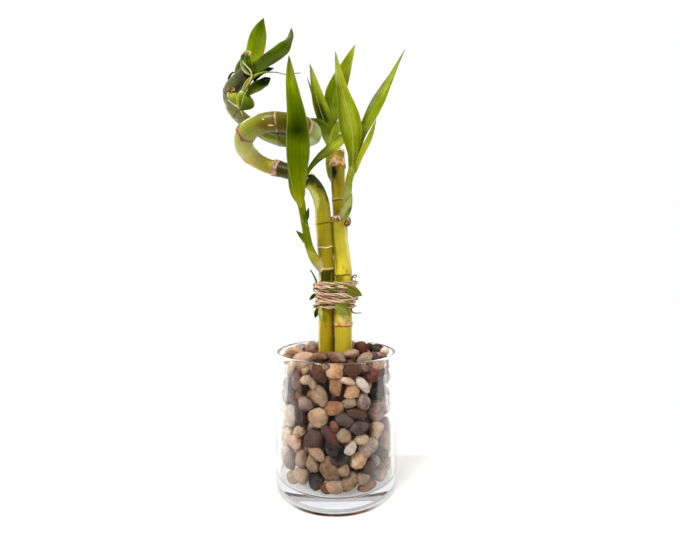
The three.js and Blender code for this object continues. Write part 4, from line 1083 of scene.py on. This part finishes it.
class StonePile:
    """Collects stones into one mesh for each group of them."""

    def __init__(self):
        self.parts = {}

    def add(self, group, points, ball, tone, rng):
        part = self.parts.setdefault(group, {"points": [], "faces": [], "tone": [], "second": [], "own": []})
        start = sum(len(p) for p in part["points"])
        part["points"].append(kept_inside(points))
        part["faces"] += [tuple(start + k for k in f) for f in ball.faces]
        change = rng.uniform(0.9, 1.1)
        for mark, value in (
            ("tone", linear(TONES[tone]) * change), ("second", linear(TONES[SECONDS[tone]]) * change),
            ("own", rng.uniform(0, 1, 3)),
        ):
            part[mark].append(np.tile(value, (len(points), 1)))

    def build(self, group, name, finish):
        part = self.parts[group]
        marks = {mark: np.vstack(part[mark]) for mark in ("tone", "second", "own")}
        return make_mesh(name, np.vstack(part["points"]), part["faces"], STONE[finish], marks)


def kept_inside(points):
    """Holds a stone's points off the glass's wall, its floor and the rounded edge between them."""
    reach = np.hypot(points[:, 0], points[:, 1])
    points[:, :2] *= np.minimum(1, VASE_INSIDE / np.maximum(reach, 1e-6))[:, None]
    edge = np.maximum(np.minimum(reach, VASE_INSIDE) - VASE_ROUND_FROM, 0)
    rise = VASE_ROUND - np.sqrt(np.maximum(VASE_ROUND**2 - edge**2, 0))
    points[:, 2] = np.maximum(points[:, 2], VASE_FLOOR + rise)
    return points


def filled(row, full):
    """A stone's row with the usual finish and squareness where it leaves them out."""
    return (*row, *USUAL[len(row) - full + 2:])


def wall_stone(pile, group, rng, degrees, height, length, breadth, tilt, tone, square, ball, seat=VASE_INSIDE):
    """A stone that stands against the glass, or against a wider seat inside it."""
    half = np.array([length / 2, breadth / 2, float(np.clip(0.42 * min(length, breadth) + 0.6, 3.2, 6))])
    shape = stone_shape(ball, rng, square) * half
    round_to, lean = math.radians(degrees), math.radians(tilt)
    out = np.array([math.sin(round_to), -math.cos(round_to), 0])
    along = np.array([math.cos(round_to), math.sin(round_to), 0])
    first = along * math.cos(lean) + UP * math.sin(lean)
    second = UP * math.cos(lean) - along * math.sin(lean)
    centre = out * (seat - half[2]) + UP * height
    pile.add(group, centre + shape @ np.array([first, second, out]), ball, tone, rng)


def scattered(rng, low, high, gap, tries, apart):
    """Random places between two corners that keep a gap between them."""
    places = []
    for _ in range(tries):
        place = rng.uniform(low, high)
        if all(apart(place, other) >= gap for other in places):
            places.append(place)
    return places


def round_wall(rng, first, last, top, radius):
    """Random places, in degrees and heights, on a wall of that radius."""

    def apart(a, b):
        turn = abs(a[0] - b[0]) % 360
        return math.hypot(math.radians(min(turn, 360 - turn)) * radius, a[1] - b[1])

    return scattered(rng, (first, WALL_LOWEST), (last, top), WALL_GAP, WALL_TRIES, apart)


def add_back_stones(pile, rng):
    """Stones against the glass at the back, and two rings of them further in."""
    for degrees, height in round_wall(rng, 84, 276, 102, 42):
        tone = rng.choice(LIGHT if rng.random() < 0.6 else DARK)
        length, breadth = rng.uniform(12.5, 16.5), rng.uniform(10, 12.5)
        group = "back_" + rng.choice(BACK_FINISHES)
        wall_stone(pile, group, rng, degrees, height, length, breadth, rng.uniform(-90, 90), tone,
                   rng.uniform(0.1, 0.6), FINE)
    # The inner rings are stones of their own, but their tones come only from the dark ones as painted shade, so that
    # the gaps between the stones at the glass read dark.
    for seat in INNER_SEATS:
        for degrees, height in round_wall(rng, 0, 360, 98, seat - 5):
            wall_stone(pile, "inner", rng, degrees, height, rng.uniform(13, 16), rng.uniform(11, 13),
                       rng.uniform(-90, 90), rng.choice(DARK), 0.3, COARSE, seat)


def add_upper_stones(pile, rng):
    """The layer right below the top stones, and what fills the gaps between those."""
    corner = np.array([UPPER_REACH, UPPER_REACH])
    for x, y in scattered(rng, -corner, corner, UPPER_GAP, UPPER_TRIES, lambda a, b: math.hypot(*(a - b))):
        out = math.hypot(x, y)
        if out > UPPER_REACH:
            continue
        surface = float(np.interp(out, (0, 14, 38, 42), (107, 107, 102, 97)))
        half = np.array([rng.uniform(6, 7.5), rng.uniform(5, 6.2), rng.uniform(4.2, 5)])
        points = stone_shape(FINE, rng, 0.3) * half
        turn = Euler((rng.uniform(-0.3, 0.3), rng.uniform(-0.3, 0.3), rng.uniform(0, 3))).to_matrix()
        points = points @ np.array(turn).T + np.array([x, y, surface - 4.6])
        pile.add("under", points, FINE, rng.choice(LIGHT + DARK), rng)
    for place, half, tone in FILLER_STONES:
        pile.add("under", stone_shape(FINE, rng, 0.3) * np.array(half) + np.array(place), FINE, tone, rng)


def make_pebbles():
    pile = StonePile()
    rng = np.random.default_rng(5)
    for row in WALL_STONES:
        *stone, finish, square = filled(row, 8)
        wall_stone(pile, finish, rng, *stone, square, FINE)
    add_back_stones(pile, rng)
    add_upper_stones(pile, rng)
    meshes = [(side + finish, f"pebbles_{side or 'front_'}{finish}", finish)
              for side in ("", "back_") for finish in STONE]
    for mesh in (*meshes, ("inner", "pebbles_inner", "plain"), ("under", "pebbles_under_top", "plain")):
        stand_for(pile.build(*mesh), "stone_bed", "pebble_bed")
    for number, row in enumerate(TOP_STONES):
        place, half, turn, tilt, tone, finish, square = filled(row, 7)
        name = f"top_stone_{number + 1:02d}"
        spin = Euler((0, 0, math.radians(turn))).to_matrix() @ Euler((0, math.radians(tilt), 0)).to_matrix()
        points = (stone_shape(FINE, rng, square) * np.array(half)) @ np.array(spin).T + np.array(place)
        pile.add(name, points, FINE, tone, rng)
        slot = ("stone_tan", "stone_grey", "stone_red")[number % 3]
        stand_for(pile.build(name, name, finish), slot, f"pebble_top_{number + 1:02d}")


# ---------------------------------------------------------------- twine and the sprig under it

TWINE_BOTTOM, TWINE_PITCH, TWINE_TURNS = 145.0, 2.75, 8.1
TURN_STEPS, OVER_STEPS, STEP_DEG = 60, 66, 6
PLY_RADIUS, PLY_OFFSET, PLY_LAY, PLY_SIDES = 0.70, 0.64, 19.0, 9
# How far round a ply its fibres are spread.
PLY_ROUND = 0.004
TWINE_SEAT, TWINE_STEP = 1.9, 0.75
# Turns laid over the others: height of the middle, how far it rises and falls, and where its high side is.
OVER_TURNS = [(150.5, 3.8, -30), (158.0, 3.6, 160), (165.4, 2.6, 60)]


def stalk_at(line, height):
    rows = np.array(line)
    return [float(np.interp(height, rows[:, 2], rows[:, i])) for i in (0, 1, 3)]


def around_bundle(degrees, height, outside):
    """A point outside the three stalks, the way a taut string passes them."""
    turn = math.radians(degrees)
    look = np.array([math.cos(turn), math.sin(turn)])
    stalks = [stalk_at(line, height) for line in (SPIRAL_LINE[:6], FRONT_LINE, BACK_LINE)]
    x, y, r = max(stalks, key=lambda stalk: stalk[0] * look[0] + stalk[1] * look[1] + stalk[2])
    return np.array([x + look[0] * (r + outside), y + look[1] * (r + outside), height])


def twine_paths():
    wound = []
    for step in range(int(TWINE_TURNS * TURN_STEPS) + 1):
        turns = step / TURN_STEPS
        sway = 2.0 * wander(61, 0.5, (turns, 0, 0)) + 1.0 * wander(62, 0.17, (turns, 0, 0))
        out = TWINE_SEAT + 0.45 * wander(63, 0.4, (turns, 0, 0)) + 0.3
        wound.append(around_bundle(turns * 360 + 20, TWINE_BOTTOM + TWINE_PITCH * turns + sway, out))
    paths = [np.array(wound)]
    for number, (height, swing, high_side) in enumerate(OVER_TURNS):
        over = []
        for step in range(OVER_STEPS):
            turned = step * STEP_DEG
            rise = swing * math.cos(math.radians(turned)) + 0.7 * wander(70 + number, 0.2, (step / TURN_STEPS, 0, 0))
            # its ends are tucked under the other turns
            tuck = 1.7 * smooth_step(0, 6, step) * smooth_step(OVER_STEPS - 1, OVER_STEPS - 7, step)
            over.append(around_bundle(turned + high_side, height + rise, TWINE_SEAT + 0.5 + tuck))
        paths.append(np.array(over))
    return paths


def make_twine():
    """Two-ply raffia: each ply winds round the string's own line."""
    points, faces, lay, crevice_shade = [], [], [], []
    for number, path in enumerate(twine_paths()):
        line, along = spline(path, TWINE_STEP)
        _, side, across = travelling_frames(line, UP)
        for ply in (0, 1):
            turn = 2 * math.pi * along / PLY_LAY + math.pi * ply
            swell = [1 + 0.22 * wander(80 + number + ply, 3.0, (s, 0, 0)) for s in along]
            centre = line + PLY_OFFSET * (side * np.cos(turn)[:, None] + across * np.sin(turn)[:, None])
            faces += tube_faces(len(along), PLY_SIDES, len(points))
            for i, s in enumerate(along):
                for a, cos, sin in circle(PLY_SIDES):
                    look = side[i] * math.cos(a + turn[i]) + across[i] * math.sin(a + turn[i])
                    points.append(centre[i] + look * PLY_RADIUS * swell[i])
                    # Painted shade where a ply faces into the string, and where it faces up or down towards the next
                    # turn.
                    inward = look.dot(line[i] - centre[i]) / PLY_OFFSET
                    crevice_shade.append(max(smooth_step(-0.35, 0.7, inward), 0.8 * smooth_step(0.5, 1.0, abs(look[2]))))
                    lay.append((cos * PLY_ROUND, sin * PLY_ROUND, s * MM + ply + number * 3))
    stand_for(make_mesh("twine_strands", points, faces, TWINE, {"lay": lay, "crevice_shade": crevice_shade}), "twine", "twine_wrap")


# Small leaves tucked under the twine: rib in millimetres, width, and tones.
SPRIG_LEAVES = [
    ([(6, -22.2, 163.6), (13.4, -21.2, 160.4), (20.8, -17.2, 156.2)], 7.6, "sage olive olive"),
    ([(3, -21.8, 163.6), (-2.4, -21.6, 162.6), (-7.6, -20.6, 160.8)], 4.2, "moss olive moss"),
    ([(4.4, -22.2, 150.8), (8.4, -22.6, 152.4), (12.8, -21.6, 152)], 5.4, "olive sage olive"),
    ([(-0.4, -21.9, 149.4), (5.4, -22.8, 145.8), (11.4, -21.8, 141)], 8.6, "olive sage sage"),
    ([(-12.6, -19.4, 147), (-12.2, -19.9, 141.6), (-11.4, -18.6, 136.6)], 4.4, "lime pale lime"),
    ([(-14.8, -16, 146), (-15.8, -16.2, 142), (-16.8, -15.8, 138.2)], 4.4, "dark dark moss"),
    ([(-17, -13.6, 157.6), (-19, -14.2, 155), (-21.6, -14.2, 152.4)], 3.6, "dark dark dark"),
]
# Thin stem ends: points in millimetres and radius.
SPRIG_WIRES = {
    "tip": ([(-15.6, -15, 166.8), (-17, -15.6, 170.4), (-18.8, -15.8, 174), (-20.7, -15.8, 176.9)], 0.85),
    "loop": ([(12.8, -14, 168.6), (13.4, -14.6, 171.4), (15.2, -14.9, 172.7), (16.7, -14.9, 172.1),
        (15.6, -14.8, 170.8), (13.8, -14.6, 170.9)], 0.6),
    "tail": ([(12.4, -15.2, 146), (13, -15.7, 143.2), (15, -16, 142.2), (20.3, -15.6, 142.4)], 0.6),
}


def make_sprig():
    for number, (rib, width, tones) in enumerate(SPRIG_LEAVES):
        half = [width / 2 * share for share in (0.35, 0.85, 1, 0.9, 0.6, 0.06)]
        spec = blade_spec(rib, half, [(0, -1, 0.1), (0.1, -1, 0.2)], [0.3, 0.2], tones, line=0.35, hem=0.3,
                          wave=0.3)
        blade = blade_mesh(f"sprig_blade_{number + 1}", spec, 91 + number)
        stand_for(blade, "leaf", f"sprig_leaf_{number + 1}")
    for name, (line, radius) in SPRIG_WIRES.items():
        stand_for(thin_tube("sprig_wire_" + name + "_end", line, radius, WIRE), "wire", "sprig_wire_" + name)


def thin_tube(name, line, radius, material, sides=10):
    """A thin stem end that tapers along its line."""
    line, along = spline(line, 0.4)
    _, side, across = travelling_frames(line)
    points = []
    for i, s in enumerate(along):
        taper = radius * (1 - 0.45 * s / along[-1]) * (1 + 0.12 * wander(97, 1.5, (s, 0, 0)))
        points += [line[i] + (side[i] * cos + across[i] * sin) * taper for _, cos, sin in circle(sides)]
    return make_mesh(name, points, tube_faces(len(along), sides), material)


# ---------------------------------------------------------------- the floor, the light and the camera

# In millimetres: where, behind the vase, the table turns to plain white, and where, in front of it, the table
# that the glass mirrors has turned dark.
FLOOR_FADE = (41, 47)
FLOOR_DIM = (-52, -80)
FLOOR_HALF = 2500
# The backdrop's extra brightness in mirrored rays: where it starts and is full, out from the middle, and how much.
FLOOR_GLOW = (90, 170, 1.0)
# A brighter strip to either side, for the glass to mirror: its edges as places behind the vase over places aside.
FLOOR_STRIP = ((0.02, 0.0), (0.07, 1.0), (0.19, 1.0), (0.25, 0.0))
STRIP_STRENGTH = 2.5
# How much painted brown the table has under the foot's edge, as painted shade and a painted reflection of the pebbles
# seen in the foot's rounding, at distances from the middle as shares of 100 mm, and how far to either side that
# brown has ended and is full.
FOOT_SHADE = ((0.40, 0.0), (0.44, 1.0), (0.484, 1.0), (0.498, 0.0))
FOOT_SHADE_SIDES, FOOT_SHADE_ASIDE = (36, 20), 0.3
# Painted shade: how much of the brown lies on the table under the whole foot, so that the base looks greyer through the
# glass.
FOOT_GREY = ((0.45, 0.2), (0.48, 0.0))


def make_stage():
    """A pale table that turns to plain white a little way behind the vase."""
    s = Shader("floor")
    place = s.place()
    split = s.node("SeparateXYZ", {0: place}).outputs
    behind, to_side = split["Y"], s.math("ABSOLUTE", split["X"])
    glossy = s.node("LightPath").outputs["Is Glossy Ray"]

    def change(value, ends, *levels):
        return s.step(value, ends[0] * MM, ends[1] * MM, *levels)

    tone = s.noise(9, detail=3)
    s.feed(s.bsdf, {
        "Base Color": s.ramp(tone, (0.3, (0.50, 0.485, 0.47, 1)), (0.7, (0.53, 0.515, 0.50, 1))),
        "Roughness": 0.7, "Specular IOR Level": 0.2,
        "Emission Color": (1.0, 0.975, 0.95, 1), "Emission Strength": 0.42,
    })
    strip = s.ramp(s.math("DIVIDE", behind, to_side), *FLOOR_STRIP)
    strip = s.weighted((strip, STRIP_STRENGTH), plus=FLOOR_GLOW[2])
    glow = s.math("MULTIPLY", s.math("MULTIPLY", glossy, change(to_side, FLOOR_GLOW)), strip)
    white = s.node("Emission", {"Strength": s.math("ADD", glow, 1.0)})
    dim = s.node("BsdfDiffuse", {"Color": s.ramp(tone, (0.3, 0.045), (0.7, 0.055))})
    out = s.math("DIVIDE", s.node("VectorMath", {0: place}, operation="LENGTH").outputs["Value"], 0.1)
    # Painted shade and a painted reflection of the pebbles: brown on the table under the foot's edge, and a little
    # under the whole foot.
    under = s.math("MULTIPLY", s.ramp(out, *FOOT_SHADE), change(to_side, FOOT_SHADE_SIDES, FOOT_SHADE_ASIDE))
    brown = s.ramp(s.noise(60, detail=3), (0.4, colour(36, 26, 22)), (0.6, colour(120, 84, 62)))
    s.cover(change(behind, FLOOR_FADE), white)
    s.cover(s.math("MULTIPLY", glossy, change(behind, FLOOR_DIM)), dim)
    s.cover(s.math("MAXIMUM", under, s.ramp(out, *FOOT_GREY)), s.node("BsdfDiffuse", {"Color": brown}))
    corners = [(x * FLOOR_HALF, y * FLOOR_HALF, 0) for x, y in ((-1, -1), (1, -1), (1, 1), (-1, 1))]
    make_mesh("floor", corners, [(0, 1, 2, 3)], s.material)


def add_lamp(name, place, aim, size, watts, tint):
    data = bpy.data.lights.new(name, "AREA")
    data.shape = "DISK"
    data.size = size
    data.energy = watts
    data.color = tint
    lamp = bpy.data.objects.new(name, data)
    lamp.location = place
    lamp.rotation_euler = (Vector(aim) - Vector(place)).to_track_quat("-Z", "Y").to_euler()
    bpy.context.scene.collection.objects.link(lamp)


ROOM_FRONT, ROOM_BACK, ROOM_TOP = 0.10, 1.0, 0.3
MIRRORED_FRONT, MIRRORED_TOP = 0.02, 0.9


def make_world():
    """A white backdrop seen straight or through glass; as light it is bright behind and dim in front."""
    world = bpy.data.worlds.new("studio")
    world.use_nodes = True
    g = Graph(world.node_tree)
    split = g.node("SeparateXYZ", {0: g.node("TexCoord").outputs["Generated"]}).outputs
    room = g.step(split["Y"], -0.6, 0.4, ROOM_FRONT, ROOM_BACK)
    room = g.math("ADD", room, g.step(split["Z"], 0.1, 1.0, 0.0, ROOM_TOP))
    mirrored = g.step(split["Y"], -0.35, 0.35, MIRRORED_FRONT)
    mirrored = g.math("MAXIMUM", mirrored, g.step(split["Z"], 0.15, 0.6, 0.0, MIRRORED_TOP))
    path = g.node("LightPath").outputs
    unspoilt = g.math("LESS_THAN", g.math("ADD", path["Diffuse Depth"], path["Glossy Depth"]), 0.5)
    seen = g.math("MAXIMUM", path["Is Camera Ray"], g.math("MULTIPLY", path["Is Transmission Ray"], unspoilt))
    diffuse = g.math("GREATER_THAN", path["Diffuse Depth"], 0.5)
    room = g.math("MULTIPLY", room, diffuse)
    mirrored = g.math("MULTIPLY", mirrored, g.math("SUBTRACT", 1.0, diffuse))
    lit = g.math("MULTIPLY", g.math("ADD", room, mirrored), g.math("SUBTRACT", 1.0, seen))
    g.feed(g.tree.nodes["Background"], {"Color": (1, 1, 1, 1), "Strength": g.math("ADD", lit, seen)})
    bpy.context.scene.world = world


def make_light():
    make_world()
    add_lamp("key", (-0.45, -0.6, 0.9), (0, 0, 0.2), 0.4, 13, (1, 0.985, 0.96))
    add_lamp("fill", (0.6, -0.5, 0.5), (0, 0, 0.18), 0.5, 2.5, (1, 1, 1))
    bpy.context.scene.view_settings.view_transform = "Standard"


CAMERA_PLACE = (3.2, -327.0, 174.8)
CAMERA_TILT_DEG = 0.36
CAMERA_LENS, SENSOR_WIDTH = 20.49, 36


def make_camera():
    data = bpy.data.cameras.new("camera")
    data.lens = CAMERA_LENS
    data.sensor_width = SENSOR_WIDTH
    data.clip_start = 0.01
    camera = bpy.data.objects.new("camera", data)
    camera.location = Vector(CAMERA_PLACE) * MM
    camera.rotation_euler = Euler((math.radians(90 + CAMERA_TILT_DEG), 0, 0))
    bpy.context.scene.collection.objects.link(camera)
    bpy.context.scene.camera = camera


# ---------------------------------------------------------------- build

make_camera()
make_light()
make_stage()
make_vase()
make_stalk("spiral_cane", SPIRAL_LINE, SPIRAL_RINGS, SPIRAL_SKIN, SPIRAL_SCARS_AND_PAINTED_LIGHT, 1, 0, "stalk_spiral")
make_stalk("front_cane", FRONT_LINE, FRONT_RINGS, FRONT_SKIN, FRONT_SCARS_AND_PAINTED_LIGHT, 2, 3, "stalk_front")
make_stalk("back_cane", BACK_LINE, BACK_RINGS, BACK_SKIN, BACK_SCARS_AND_PAINTED_SHADE, 3, 3, "stalk_back")
for number, (shoot_name, (shoot_line, shoot_tones)) in enumerate(SHOOTS.items()):
    make_shoot(shoot_name + "_skin", shoot_line, shoot_tones, 11 + number, shoot_name)
for number, (leaf_name, leaf_spec) in enumerate(LEAVES.items()):
    stand_for(blade_mesh(leaf_name + "_blade", leaf_spec, 31 + number), "leaf", leaf_name)
make_mouths()
for number, (collar_name, collar_spec) in enumerate(COLLARS.items()):
    make_collar(collar_name, number, *collar_spec)
make_pebbles()
make_twine()
make_sprig()
